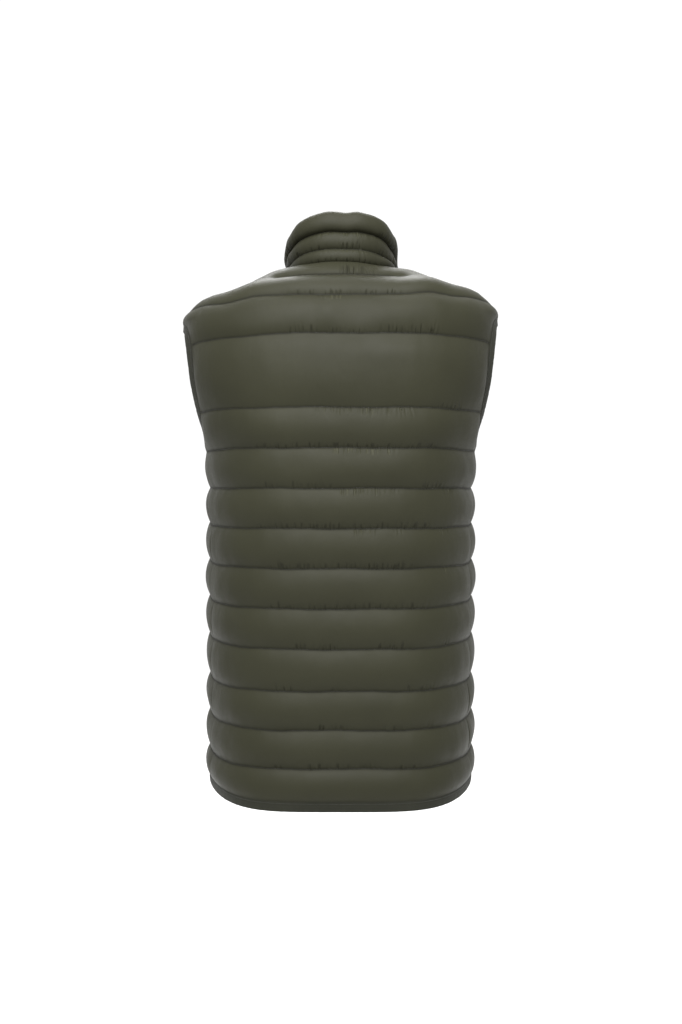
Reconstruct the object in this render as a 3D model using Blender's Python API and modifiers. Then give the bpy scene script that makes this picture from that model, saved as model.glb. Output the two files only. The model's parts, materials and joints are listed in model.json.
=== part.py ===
"""A quilted, sleeveless puffer vest, zipped up and filled out, in metres.

The origin lies between the wearer's shoulders, midway along the shoulder seams.
+Z is up, the fronts face -Y, and +X is the wearer's left.
Every cloth piece is a closed wall: its inner face is plain, and its outer face rises
between the quilting lines.
"""
import math

import bmesh
import bpy
import numpy as np

# ---------------------------------------------------------------- driving dimensions
GARMENT = "puffer_vest"
WALL = 0.0020             # cloth wall at a quilting line
GAP = 0.0003              # room between two pieces that meet
QUILT_PITCH = 0.0508      # height of a body channel
LOWEST_LINE = -0.6247     # lowest quilting line of the body
BODY_LINES = 10           # evenly pitched lines, the lowest one included
YOKE_LINES = (-0.0740, -0.0230, 0.0110)          # back, above the wide channel
FRONT_TOP_LINES = (-0.1167, -0.0659, -0.0230, 0.0110)
HEM_EDGE = -0.6740
HEM_BAND = 0.0127         # height of the hem binding
HEM_SEAM = HEM_EDGE + HEM_BAND
NECK_BACK = 0.0310        # neck seam at the centre back
NECK_SIDE = 0.0245        # neck seam at the shoulder seam
NECK_FRONT = -0.0250      # neck seam at the centre front
SHOULDER_TIP = -0.0420    # outer end of the shoulder seam
UNDERARM = -0.2120        # lowest point of the armhole
SEAM_Y = 0.0150           # side seam below the waist
SEAM_SWING = -0.3400      # height where the side seam starts to swing to the underarm
FRONT_RISE = 0.0050       # the fronts' lines stand this much higher than the back's
FRONT_EDGE = 0.0105       # front edge, from the centre line
ARMHOLE_BACK = 0.0550     # half widths of the armhole, seen from the side
ARMHOLE_FRONT = 0.0720
ARMHOLE_POWER = 2.5
BINDING_WIDTH = 0.0110
BODY_PUFF = 0.0062
YOKE_PUFF = 0.0062
WIDE_PUFF = 0.0070
PUFF_POWER = 0.70         # below 1: channels are full, with a tight valley at the line
EDGE_FADE = 0.0140        # a channel flattens over this length towards a seam
NECK_HALF_WIDTH = 0.0715
NECK_Y = -0.0300          # middle of the neck ring, front to back
NECK_FRONT_DEPTH = 0.0800
NECK_SLOPE = 0.463        # rise of the neck ring for each metre towards the back

BACK_COLUMNS = 20
FRONT_COLUMNS = 12
CHANNEL_STEPS = (0.16, 0.5, 0.84)
WIDE_STEPS = (0.1, 0.3, 0.5, 0.7, 0.9)

# height, half width, y of the widest point, back y, front y
BODY_SECTIONS = (
    (-0.6740, 0.1830, -0.0370, 0.1130, -0.1270),
    (-0.5700, 0.1815, -0.0370, 0.1070, -0.1270),
    (-0.4700, 0.1825, -0.0370, 0.1070, -0.1300),
    (-0.3640, 0.1830, -0.0370, 0.1085, -0.1370),
    (-0.2700, 0.1825, -0.0370, 0.1130, -0.1460),
    (-0.2170, 0.1880, -0.0360, 0.1155, -0.1510),
    (-0.1680, 0.2020, -0.0280, 0.1175, -0.1530),
    (-0.1200, 0.2110, -0.0180, 0.1180, -0.1490),
    (-0.0760, 0.2145, -0.0090, 0.1150, -0.1380),
    (-0.0450, 0.2125, -0.0010, 0.1090, -0.1240),
    (-0.0260, 0.2055, 0.0000, 0.1020, -0.1110),
    (-0.0160, 0.1910, 0.0000, 0.0960, -0.0940),
    (-0.0050, 0.1620, 0.0000, 0.0860, -0.0720),
    (0.0050, 0.1260, 0.0000, 0.0745, -0.0510),
    (0.0110, 0.1130, -0.0010, 0.0670, -0.0390),
    (0.0180, 0.0950, -0.0020, 0.0570, -0.0245),
    (0.0245, 0.0664, -0.0030, 0.0500, -0.0150),
    (0.0310, 0.0560, -0.0030, 0.0410, -0.0080),
)
# height, back power across, back power in depth, front power across, front power in depth
SECTION_POWERS = (
    (-0.6740, 4.4, 1.3, 2.6, 1.8),
    (-0.4500, 3.9, 1.4, 2.6, 1.8),
    (-0.1500, 3.6, 1.5, 2.6, 1.8),
    (-0.0900, 3.4, 1.6, 2.6, 1.8),
    (0.0000, 2.7, 1.7, 2.4, 2.0),
    (0.0310, 2.3, 1.8, 2.4, 2.0),
)
# height of a back line at the centre, how far it drops at its ends
BACK_DROOP = (
    (-0.1675, 0.0),
    (-0.0740, -0.0045),
    (-0.0230, -0.0030),
    (0.0110, -0.0060),
    (0.0310, -0.0065),
)
# turn from the centre back (degrees), height of the collar, lean outwards at its top
COLLAR_SECTIONS = (
    (0.0, 0.0690, -0.0060),
    (30.0, 0.0680, -0.0030),
    (50.0, 0.0630, 0.0005),
    (68.0, 0.0550, 0.0010),
    (90.0, 0.0540, 0.0000),
    (135.0, 0.0550, 0.0000),
    (180.0, 0.0530, -0.0020),
)
# height, how far the armhole binding leans outwards for each unit it reaches inwards
BINDING_FLARES = (
    (-0.2120, -0.15),
    (-0.1900, 0.20),
    (-0.1200, 0.85),
    (-0.0700, 0.85),
    (-0.0420, 0.45),
)
COLLAR_LINES = (0.26, 0.60)      # shares of the collar's height
COLLAR_PUFFS = (0.0036, 0.0042, 0.0080)
COLLAR_STEPS = (0.18, 0.5, 0.82)

TAPE_INNER = 0.0033
TAPE_OUTER = 0.0145
TAPE_THICKNESS = 0.0010
TAPE_CLEARANCE = 0.0009
CHAIN_HALF_WIDTH = 0.0029
CHAIN_THICKNESS = 0.0026
TAPE_FOOT = 0.0010        # tape's lower end above the hem's edge
TAPE_DROP = 0.0020        # tape's upper end below the collar's top
SLIDER_WIDTH = 0.0086
SLIDER_HEIGHT = 0.0110
SLIDER_PLATE = 0.0012
SLIDER_DROP = 0.0040      # slider's top below the collar's top at the zip
SLIDER_BEVEL = 0.0004
POST_HEIGHT = 0.00374     # post between the slider's plates
POST_TOP = 0.0006         # its top below the slider's top
POST_ROOM = 0.0006        # room between the post and each tape
BRIDGE_WIDTH = 0.0024
BRIDGE_FOOT_WIDTH = 0.0022
BRIDGE_HEIGHT = 0.00792   # over both feet
BRIDGE_RISE = 0.0030
BRIDGE_SINK = 0.0003      # how deep its feet sit in the plate
BRIDGE_BAR = 0.0010
TAB_LENGTH = 0.0260
TAB_WIDTH = 0.0070
TAB_THICKNESS = 0.0016
TAB_BEVEL = 0.0005
TAB_BAR = 0.0011          # diameter of the tab's crossbar and rails
TAB_BAR_BEVEL = 0.0002
TAB_EYE = 0.0080          # length of the tab's eye below the crossbar
TAB_ROOM = 0.0007         # room between a rail and the bridge
TAB_RAIL_DEPTH = 0.0010
TAB_LAP = 0.0012          # how far the rails run into the plate and the crossbar
BOX_HEIGHT = 0.0110
BOX_DEPTH = 0.0044
BOX_BEVEL = 0.0006

# rows that round a corner: heights over the underarm, below the tip, over the front neck
ARMHOLE_FOOT = (0.0, 0.0012, 0.0050, 0.0120)
ARMHOLE_TOP = (0.0090, 0.0032, 0.0)
NECK_CORNER = (0.0004, 0.0016, 0.0042, 0.0082, 0.0132, 0.0186, 0.0250, 0.0312, 0.0405, 0.0452)
LINE_ROOM = 0.0008        # least room between a row and a quilting line
ROW_ROOM = 0.0035         # least room between two rows inside a channel
INNER_FROM = UNDERARM - 0.0010   # the inner face has every row from here up
EDGE_ROOM = 0.0006        # how far past its ends the armhole's edge is looked for
RISE_BLEND = 0.2          # share of a front over which its lines rise
# share of a binding's width, height over its outer start, round the tape's section
ARMHOLE_PROFILE = ((0.15, 0.0010), (0.6, 0.0013), (0.93, 0.0004), (1.0, -0.0010),
                   (0.93, -0.0024), (0.6, -0.0032), (0.15, -0.0028))
HEM_PROFILE = ((0.12, 0.0012), (0.5, 0.0016), (0.9, 0.0010), (1.0, -0.0004),
               (1.0, -0.0016), (0.9, -0.0020), (0.5, -0.0020))

CLOTH_COLOUR = (0.070, 0.071, 0.046, 1.0)
BINDING_COLOUR = (0.048, 0.050, 0.034, 1.0)
TAPE_COLOUR = (0.045, 0.046, 0.032, 1.0)
METAL_COLOUR = (0.085, 0.084, 0.075, 1.0)


# ---------------------------------------------------------------- curves and sections
def smooth_table(table, column):
    """A function that runs smoothly, without overshoot, through one column of a table."""
    data = np.array(table, float)
    xs, ys = data[:, 0], data[:, column]
    steps = np.diff(xs)
    rises = np.diff(ys) / steps
    slopes = np.zeros_like(ys)
    for i in range(1, len(ys) - 1):
        if rises[i - 1] * rises[i] > 0:
            before = 2 * steps[i] + steps[i - 1]
            after = steps[i] + 2 * steps[i - 1]
            slopes[i] = (before + after) / (before / rises[i - 1] + after / rises[i])
    slopes[0], slopes[-1] = rises[0], rises[-1]

    def value(x):
        x = np.clip(x, xs[0], xs[-1])
        i = np.clip(np.searchsorted(xs, x, side="right") - 1, 0, len(steps) - 1)
        h = steps[i]
        t = (x - xs[i]) / h
        near = (1 + 2 * t) * (1 - t) ** 2 * ys[i] + t * (1 - t) ** 2 * h * slopes[i]
        far = t * t * (3 - 2 * t) * ys[i + 1] + t * t * (t - 1) * h * slopes[i + 1]
        return near + far

    return value


half_width = smooth_table(BODY_SECTIONS, 1)
widest_y = smooth_table(BODY_SECTIONS, 2)
back_y = smooth_table(BODY_SECTIONS, 3)
front_y = smooth_table(BODY_SECTIONS, 4)
back_across = smooth_table(SECTION_POWERS, 1)
back_depth = smooth_table(SECTION_POWERS, 2)
front_across = smooth_table(SECTION_POWERS, 3)
front_depth = smooth_table(SECTION_POWERS, 4)
back_droop = smooth_table(BACK_DROOP, 1)
collar_height = smooth_table(COLLAR_SECTIONS, 1)
collar_lean = smooth_table(COLLAR_SECTIONS, 2)
binding_flare = smooth_table(BINDING_FLARES, 1)


def ease(x):
    """0 below 0, 1 above 1, and a smooth step between."""
    x = np.clip(x, 0.0, 1.0)
    return x * x * (3 - 2 * x)


def unit(v):
    """The vectors v, each made one long."""
    return v / np.maximum(np.linalg.norm(v, axis=-1, keepdims=True), 1e-12)


def body_point(z, turn):
    """Points of the body at heights z; turn runs from 0, centre back, over 1, the widest
    point, to 2, centre front. They lie on the wearer's left, at positive X."""
    share = np.sin(np.minimum(turn, 2 - turn) * math.pi / 2)
    share = np.clip(share, 0.0, 1.0)
    at_back = np.maximum(1 - share ** back_across(z), 0) ** (1 / back_depth(z))
    at_front = np.maximum(1 - share ** front_across(z), 0) ** (1 / front_depth(z))
    deep_back = (back_y(z) - widest_y(z)) * at_back
    deep_front = (front_y(z) - widest_y(z)) * at_front
    y = widest_y(z) + np.where(turn <= 1, deep_back, deep_front)
    return np.stack([half_width(z) * share, y, z + 0 * y], axis=-1)


def body_level(x, y, z):
    """Below 1 inside the body's section at z and above 1 outside it."""
    across = np.abs(x) / half_width(z)
    centre = widest_y(z)
    behind = y >= centre
    depth = np.where(behind, back_y(z) - centre, centre - front_y(z))
    deep = np.abs(y - centre) / depth
    across_power = np.where(behind, back_across(z), front_across(z))
    depth_power = np.where(behind, back_depth(z), front_depth(z))
    return across ** across_power + deep ** depth_power


def body_normal(points):
    """Outward directions at points of the body."""
    h = 0.0002
    x, y, z = points[..., 0], points[..., 1], points[..., 2]
    slope_x = body_level(x + h, y, z) - body_level(np.abs(x - h), y, z)
    slope_x = np.where(x < h, 0.0, slope_x)
    slope_y = body_level(x, y + h, z) - body_level(x, y - h, z)
    slope_z = body_level(x, y, z + h) - body_level(x, y, z - h)
    return unit(np.stack([slope_x, slope_y, slope_z], axis=-1))


def turn_at_y(z, y):
    """Where the body's section at z reaches y, as a turn."""
    centre = widest_y(z)
    behind = y >= centre
    depth = np.where(behind, back_y(z) - centre, centre - front_y(z))
    deep = np.clip(np.abs(y - centre) / depth, 0, 1)
    depth_power = np.where(behind, back_depth(z), front_depth(z))
    across_power = np.where(behind, back_across(z), front_across(z))
    share = np.maximum(1 - deep ** depth_power, 0) ** (1 / across_power)
    turn = np.arcsin(np.clip(share, 0, 1)) * 2 / math.pi
    return np.where(behind, turn, 2 - turn)


def turn_at_x(z, x):
    """Where the front of the body's section at z reaches x, as a turn."""
    return 2 - np.arcsin(np.clip(x / half_width(z), 0, 1)) * 2 / math.pi


def armhole_y(z, half):
    """The armhole's edge at height z, half in front of or behind its middle."""
    middle, reach = (UNDERARM + SHOULDER_TIP) / 2, (SHOULDER_TIP - UNDERARM) / 2
    up = np.clip((z - UNDERARM) / (2 * reach), 0, 1)
    centre = widest_y(UNDERARM) * (1 - up) + widest_y(SHOULDER_TIP) * up
    away = np.clip(np.abs(z - middle) / reach, 0, 1) ** ARMHOLE_POWER
    return centre + half * (1 - away) ** (1 / ARMHOLE_POWER)


def outer_turn(z, half):
    """A panel's outer edge: side seam, then armhole, then shoulder seam."""
    low, top = SEAM_Y, widest_y(UNDERARM)
    seam = low + (top - low) * ease((z - SEAM_SWING) / (UNDERARM - SEAM_SWING))
    y = np.where(z < UNDERARM, seam, armhole_y(z, half))
    y = np.where(z > SHOULDER_TIP, widest_y(z), y)
    return turn_at_y(z, y)


def neck_x(z):
    """Half width of the neck seam at height z, from the centre front to the shoulder seam."""
    back = (z - NECK_FRONT) / NECK_SLOPE - NECK_FRONT_DEPTH
    away = np.clip(np.abs(back) / NECK_FRONT_DEPTH, 0, 1)
    return NECK_HALF_WIDTH * np.sqrt(1 - away ** 2)


# ---------------------------------------------------------------- rows of a panel
class Row:
    """One row of a panel's points: its height, its share of the way up its channel,
    the channel's fullness, and whether the plain inner face has it too."""

    def __init__(self, height, share, puff, inner):
        self.height = height
        self.share = share
        self.puff = puff
        self.inner = inner

    def rise(self):
        """How far the cloth stands out on this row, away from the panel's edges."""
        return self.puff * (1 - (2 * self.share - 1) ** 2) ** PUFF_POWER


def channel_rows(lines, puffs, steps, extra, inner_from):
    """Rows for the channels between lines, with extra heights that corners need."""
    rows = []
    for low, high, puff, inside in zip(lines, lines[1:], puffs, steps):
        heights = [low + (high - low) * s for s in inside]
        wanted = [h for h in extra if low + LINE_ROOM < h < high - LINE_ROOM]
        heights = [h for h in heights if all(abs(h - w) > ROW_ROOM for w in wanted)]
        rows.append(Row(low, 0.0, puff, True))
        for h in sorted(heights + wanted):
            rows.append(Row(h, (h - low) / (high - low), puff, h >= inner_from))
    rows.append(Row(lines[-1], 1.0, puffs[-1], True))
    return rows


def body_lines():
    """Heights of the evenly pitched quilting lines."""
    return [LOWEST_LINE + QUILT_PITCH * i for i in range(BODY_LINES)]


def armhole_heights():
    """Extra heights that round the armhole's foot and top."""
    return [UNDERARM + d for d in ARMHOLE_FOOT] + [SHOULDER_TIP - d for d in ARMHOLE_TOP]


def neck_heights():
    """Extra heights that round the front of the neck seam."""
    return [NECK_FRONT + d for d in NECK_CORNER]


def undrooped(z):
    """The centre height of a back row whose ends lie at z."""
    row = z
    for _ in range(20):
        row = z - back_droop(row)
    return row


# ---------------------------------------------------------------- panels
def edge_fade(points):
    """1 inside a panel and 0 at its side edges, for each point of a grid."""
    steps = np.linalg.norm(np.diff(points, axis=1), axis=-1)
    along = np.concatenate([np.zeros((len(points), 1)), np.cumsum(steps, axis=1)], axis=1)
    edge = np.minimum(along, along[:, -1:] - along)
    return 1 - np.exp(-edge / EDGE_FADE)


def panel_grids(rows, points, trim):
    """Outer and inner points of a panel. trim says which sides give way to a neighbour:
    low and high columns, bottom and top rows."""
    normals = body_normal(np.abs(points) * [1, 0, 0] + points * [0, 1, 1])
    normals[..., 0] *= np.where(points[..., 0] < 0, -1, 1)
    rise = np.array([row.rise() for row in rows])[:, None] * edge_fade(points)
    seam = points.copy()
    down = unit(points[0] - points[1])
    up = unit(points[-1] - points[-2])
    if trim["bottom"]:
        seam[0] -= down * GAP / 2
    if trim["top"]:
        seam[-1] -= up * GAP / 2
    for column, neighbour, name in ((0, 1, "low"), (-1, -2, "high")):
        if trim[name]:
            seam[:, column] -= unit(points[:, column] - points[:, neighbour]) * GAP / 2
    return seam + normals * rise[..., None], seam - normals * WALL, normals


def build_mesh(name, vertices, faces, material):
    """A closed, triangulated mesh object with its faces pointing out."""
    mesh = bpy.data.meshes.new(name)
    mesh.from_pydata([tuple(float(c) for c in v) for v in vertices], [], faces)
    work = bmesh.new()
    work.from_mesh(mesh)
    bmesh.ops.triangulate(work, faces=work.faces[:])
    bmesh.ops.recalc_face_normals(work, faces=work.faces[:])
    if work.calc_volume(signed=True) < 0:
        bmesh.ops.reverse_faces(work, faces=work.faces[:])
    work.to_mesh(mesh)
    work.free()
    mesh.materials.append(material)
    item = bpy.data.objects.new(name, mesh)
    bpy.data.collections[GARMENT].objects.link(item)
    mesh.shade_smooth()
    mesh.set_sharp_from_angle(angle=math.radians(50))
    return item


def wall_object(name, outer, inner, kept, material):
    """A cloth wall: outer has every row, inner only the rows that kept lists."""
    count, columns = outer.shape[:2]
    base = count * columns
    vertices = np.concatenate([outer.reshape(-1, 3), inner[kept].reshape(-1, 3)])

    def out(r, c):
        return r * columns + c

    def ins(k, c):
        return base + k * columns + c

    faces = []
    for r in range(count - 1):
        for c in range(columns - 1):
            faces.append((out(r, c), out(r, c + 1), out(r + 1, c + 1), out(r + 1, c)))
    for k in range(len(kept) - 1):
        for c in range(columns - 1):
            faces.append((ins(k, c), ins(k + 1, c), ins(k + 1, c + 1), ins(k, c + 1)))
    last = len(kept) - 1
    for c in range(columns - 1):
        faces.append((out(0, c), ins(0, c), ins(0, c + 1), out(0, c + 1)))
        faces.append((out(count - 1, c), out(count - 1, c + 1), ins(last, c + 1), ins(last, c)))
    for k in range(last):
        for c in (0, columns - 1):
            run = [out(r, c) for r in range(kept[k], kept[k + 1] + 1)]
            face = run + [ins(k + 1, c), ins(k, c)]
            faces.append(face if c == 0 else face[::-1])
    return build_mesh(name, vertices, faces, material)


def back_panel():
    """Rows, outer points, inner points and normals of the back, from -X to +X."""
    lines = [HEM_SEAM, *body_lines(), *YOKE_LINES, NECK_BACK]
    puffs = [BODY_PUFF] * BODY_LINES + [WIDE_PUFF] + [YOKE_PUFF] * len(YOKE_LINES)
    steps = [CHANNEL_STEPS] * BODY_LINES + [WIDE_STEPS] + [CHANNEL_STEPS] * len(YOKE_LINES)
    extra = [undrooped(z) for z in armhole_heights()]
    rows = channel_rows(lines, puffs, steps, extra, INNER_FROM)
    share = np.linspace(-1, 1, BACK_COLUMNS + 1)[None, :]
    height = np.array([row.height for row in rows])[:, None]
    z = height + back_droop(height) * share ** 2
    points = body_point(z, np.abs(share) * outer_turn(z[:, :1], ARMHOLE_BACK))
    points[..., 0] *= np.sign(share)
    trim = {"low": True, "high": True, "bottom": False, "top": False}
    return rows, *panel_grids(rows, points, trim)


def front_panel():
    """Rows, outer points, inner points and normals of the left front, zip to side."""
    lines = [HEM_SEAM, *body_lines(), *FRONT_TOP_LINES, NECK_SIDE]
    count = len(lines) - 1
    puffs = [BODY_PUFF] * (count - 1) + [YOKE_PUFF]
    extra = armhole_heights() + neck_heights()
    rows = channel_rows(lines, puffs, [CHANNEL_STEPS] * count, extra, INNER_FROM)
    share = np.linspace(0, 1, FRONT_COLUMNS + 1)[None, :]
    height = np.array([row.height for row in rows])[:, None]
    low = ease((height - HEM_SEAM) / QUILT_PITCH)
    high = ease((SEAM_SWING + 2 * QUILT_PITCH - height) / QUILT_PITCH)
    z = height + FRONT_RISE * low * high * ease((1 - share) / RISE_BLEND)
    start_x = np.where(height < NECK_FRONT, FRONT_EDGE, neck_x(height))
    start = turn_at_x(z[:, :1], np.maximum(start_x, FRONT_EDGE))
    end = outer_turn(height, -ARMHOLE_FRONT)
    points = body_point(z, start + (end - start) * share)
    trim = {"low": False, "high": True, "bottom": False, "top": False}
    return rows, *panel_grids(rows, points, trim)


def edge_off(outer, neighbour, closed):
    """Directions off a panel, square to its edge."""
    if closed:
        run = np.roll(outer, -1, axis=0) - np.roll(outer, 1, axis=0)
    else:
        run = np.gradient(outer, axis=0)
    off = unit(outer - neighbour)
    return unit(off - unit(run) * np.sum(off * unit(run), axis=1, keepdims=True))


def mirrored(grid):
    """The same points on the other side of the centre line."""
    return grid * [-1, 1, 1]


def kept_rows(rows):
    """Indices of the rows that the inner face has."""
    return [i for i, row in enumerate(rows) if row.inner]


# ---------------------------------------------------------------- collar
def neck_edge(back, front):
    """The neck seam from the right zip edge round the back to the left one: outer and
    inner edge points, and the directions off the panels."""
    _, back_out, back_in, _ = back
    rows, front_out, front_in, _ = front
    kept = [i for i in kept_rows(rows) if rows[i].height > NECK_FRONT]
    side_out, side_in = front_out[kept, 0], front_in[kept, 0]
    off = edge_off(side_in, front_in[kept, 1], False)
    top_off = edge_off(back_in[-1], back_in[-2], False)
    outer = [mirrored(side_out)[:-1], back_out[-1], side_out[::-1][1:]]
    inner = [mirrored(side_in)[:-1], back_in[-1], side_in[::-1][1:]]
    away = [mirrored(off)[:-1], top_off, off[::-1][1:]]
    return np.concatenate(outer), np.concatenate(inner), np.concatenate(away)


def collar_grids(back, front):
    """Outer and inner points of the collar, and the rows that its inner face keeps."""
    outer_edge, inner_edge, away = neck_edge(back, front)
    base = outer_edge + away * GAP
    around = np.degrees(np.arctan2(np.abs(base[:, 0]), base[:, 1] - NECK_Y))
    tall, lean = collar_height(around), collar_lean(around)
    along = unit(np.gradient(base * [1, 1, 0], axis=0))
    outward = np.stack([-along[:, 1], along[:, 0], np.zeros(len(base))], axis=1)
    outward *= np.sign(np.sum(outward * (base - [0, NECK_Y, 0]), axis=1, keepdims=True))
    lines = [0.0, *COLLAR_LINES, 1.0]
    outer, inner, kept = [base], [inner_edge + away * GAP], [0]
    for low, high, puff in zip(lines, lines[1:], COLLAR_PUFFS):
        for s in (*COLLAR_STEPS, 1.0):
            share = low + (high - low) * s
            middle = base + outward * (lean * share)[:, None]
            middle[:, 2] += tall * share
            rise = puff * (1 - (2 * s - 1) ** 2) ** PUFF_POWER
            fade = 1 - np.exp((FRONT_EDGE - np.abs(base[:, 0])) / EDGE_FADE)
            fade = np.where(base[:, 1] < NECK_Y, np.clip(fade, 0, 1), 1.0)
            outer.append(middle + outward * (rise * fade)[:, None])
            inner.append(middle - outward * WALL)
            if s == 1.0:
                kept.append(len(outer) - 1)
    return np.array(outer), np.array(inner), kept


# ---------------------------------------------------------------- bindings
def strip_object(name, outer, inner, off, width, profile, closed, material):
    """A folded tape that goes on from a panel's edge. profile has, for points along the
    tape's section, the share of its width and the height over its outer start."""
    normal = unit(outer - inner)
    normal = unit(normal - off * np.sum(normal * off, axis=1, keepdims=True))
    rings = [outer + off * GAP]
    for share, lift in profile:
        rings.append(outer + off * (GAP + width * share) + normal * lift)
    rings.append(inner + off * GAP)
    grid = np.array(rings).transpose(1, 0, 2)
    count, size = grid.shape[:2]
    faces = []
    for i in range(count if closed else count - 1):
        j = (i + 1) % count
        for k in range(size):
            n = (k + 1) % size
            faces.append((i * size + k, i * size + n, j * size + n, j * size + k))
    if not closed:
        faces.append(tuple(range(size))[::-1])
        faces.append(tuple((count - 1) * size + k for k in range(size)))
    return build_mesh(name, grid.reshape(-1, 3), faces, material)


def armhole_binding(name, back, front, material):
    """The left armhole's binding, from the underarm up the back and down the front."""
    edges, inners, nexts = [], [], []
    for panel, backwards in ((back, False), (front, True)):
        rows, outer, inner, _ = panel
        ends = outer[:, -1, 2]
        kept = [i for i in kept_rows(rows)
                if UNDERARM - EDGE_ROOM < ends[i] < SHOULDER_TIP + EDGE_ROOM]
        kept = kept[::-1][1:-1] if backwards else kept
        edges.append(outer[kept, -1])
        inners.append(inner[kept, -1])
        nexts.append(inner[kept, -2])
    outer, inner = np.concatenate(edges), np.concatenate(inners)
    off = edge_off(inner, np.concatenate(nexts), True)
    middle = np.array([[0, outer[:, 1].mean(), (UNDERARM + SHOULDER_TIP) / 2]])
    inward = unit((middle - outer) * [0, 1, 1])
    flare = binding_flare(outer[:, 2:])
    off = unit(unit(off + inward) + np.array([[1.0, 0, 0]]) * flare)
    return strip_object(name, outer, inner, off, BINDING_WIDTH, ARMHOLE_PROFILE, True, material)


def hem_binding(back, front, material):
    """The hem's binding, from the right zip edge round the back to the left one."""
    _, back_out, back_in, _ = back
    _, front_out, front_in, _ = front
    outer = np.concatenate([mirrored(front_out[0])[:-1], back_out[0], front_out[0][::-1][1:]])
    inner = np.concatenate([mirrored(front_in[0])[:-1], back_in[0], front_in[0][::-1][1:]])
    off = np.tile([0.0, 0.0, -1.0], (len(outer), 1))
    return strip_object("hem_binding", outer, inner, off, HEM_BAND - GAP, HEM_PROFILE, False,
                        material)


# ---------------------------------------------------------------- zip
def centre_line(front, collar):
    """Points of the wall's inner face, hem to collar top, along the front edge and as far
    out as the tape reaches, with their outward directions."""
    rows, _, inner, _ = front
    kept = [i for i in kept_rows(rows) if rows[i].height < NECK_FRONT + GAP * 2]
    _, collar_inner, collar_kept = collar
    edge = np.concatenate([inner[kept, 0], collar_inner[collar_kept[1:], -1]])
    beside = np.concatenate([inner[kept, 1], collar_inner[collar_kept[1:], -2]])
    share = (TAPE_OUTER - edge[:, :1]) / (beside[:, :1] - edge[:, :1])
    beside = edge + (beside - edge) * share
    for line in (edge, beside):
        foot = line[0] - unit(line[1] - line[0]) * (HEM_BAND - TAPE_FOOT)
        top = line[-1] - unit(line[-1] - line[-2]) * TAPE_DROP
        line[-1] = top
        line[0] = foot
    run = unit(np.gradient(edge, axis=0))
    outward = unit(np.stack([0 * run[:, 0], -run[:, 2], run[:, 1]], axis=1))
    return edge, beside, outward


def ribbon(name, lines, outward, front_depth_, back_depth_, material):
    """A flat ribbon through lines of points, between two depths behind them."""
    rings = [line - outward * front_depth_ for line in lines]
    rings += [line - outward * back_depth_ for line in reversed(lines)]
    grid = np.array(rings).transpose(1, 0, 2)
    count, size = grid.shape[:2]
    faces = [tuple(range(size)), tuple((count - 1) * size + k for k in reversed(range(size)))]
    for i in range(count - 1):
        for k in range(size):
            n = (k + 1) % size
            faces.append((i * size + k, (i + 1) * size + k, (i + 1) * size + n, i * size + n))
    return build_mesh(name, grid.reshape(-1, 3), faces, material)


def shifted(line, x):
    """The same line of points, at another distance from the centre line."""
    return line * [0, 1, 1] + [x, 0, 0]


def cut_path(path, outward, low, high):
    """The stretch of a rising path between two heights."""
    z = path[:, 2]
    inside = (z > low + 0.001) & (z < high - 0.001)
    heights = np.concatenate([[low], z[inside], [high]])
    ends = np.stack([np.interp(heights, z, path[:, k]) for k in range(3)], axis=1)
    turns = np.stack([np.interp(heights, z, outward[:, k]) for k in range(3)], axis=1)
    return ends, unit(turns)


def box_object(name, centre, size, bevel, material):
    """A box with rounded edges."""
    bpy.ops.mesh.primitive_cube_add(size=1, location=centre)
    item = bpy.context.object
    item.name = item.data.name = name
    item.scale = size
    bpy.ops.object.transform_apply(location=False, rotation=False, scale=True)
    if bevel:
        round_off = item.modifiers.new("rounded edges", "BEVEL")
        round_off.width = bevel
        round_off.segments = 2
    item.data.materials.append(material)
    move_to(item, GARMENT)
    return item


def move_to(item, collection):
    """Puts an object in one collection only."""
    for old in list(item.users_collection):
        old.objects.unlink(item)
    bpy.data.collections[collection].objects.link(item)


def join_to(item, tools):
    """Unites each tool with item and keeps the tools as hidden guides."""
    for tool in tools:
        move_to(tool, "cutters")
        tool.hide_render = True
        tool.display_type = "WIRE"
        union = item.modifiers.new("with " + tool.name, "BOOLEAN")
        union.operation = "UNION"
        union.solver = "EXACT"
        union.object = tool


def zip_slider(y, top, material):
    """The slider at the top of the chain: a plate each side of the tapes, the post
    between them, and the bridge that holds the tab."""
    half_gap = CHAIN_THICKNESS / 2 + GAP
    middle = top - SLIDER_HEIGHT / 2
    plate = (SLIDER_WIDTH, SLIDER_PLATE, SLIDER_HEIGHT)
    reach = half_gap + SLIDER_PLATE / 2
    front = box_object("zip_slider", (0, y - reach, middle), plate, SLIDER_BEVEL, material)
    rear = box_object("slider_rear_plate", (0, y + reach, middle), plate, SLIDER_BEVEL, material)
    post_size = (2 * (TAPE_INNER - POST_ROOM), 2 * reach, POST_HEIGHT)
    post_z = top - POST_TOP - POST_HEIGHT / 2
    post = box_object("slider_post", (0, y, post_z), post_size, 0, material)
    face = y - half_gap - SLIDER_PLATE
    arch = [box_object("bridge_bar", (0, face - BRIDGE_RISE + BRIDGE_BAR / 2, middle),
                       (BRIDGE_WIDTH, BRIDGE_BAR, BRIDGE_HEIGHT), 0, material)]
    for sign in (-1, 1):
        foot_z = middle + sign * (BRIDGE_HEIGHT - BRIDGE_BAR) / 2
        arch.append(box_object("bridge_foot", (0, face - BRIDGE_RISE / 2 + BRIDGE_SINK, foot_z),
                               (BRIDGE_FOOT_WIDTH, BRIDGE_RISE, BRIDGE_BAR), 0, material))
    join_to(front, [rear, post, *arch])
    return face, middle


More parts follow.
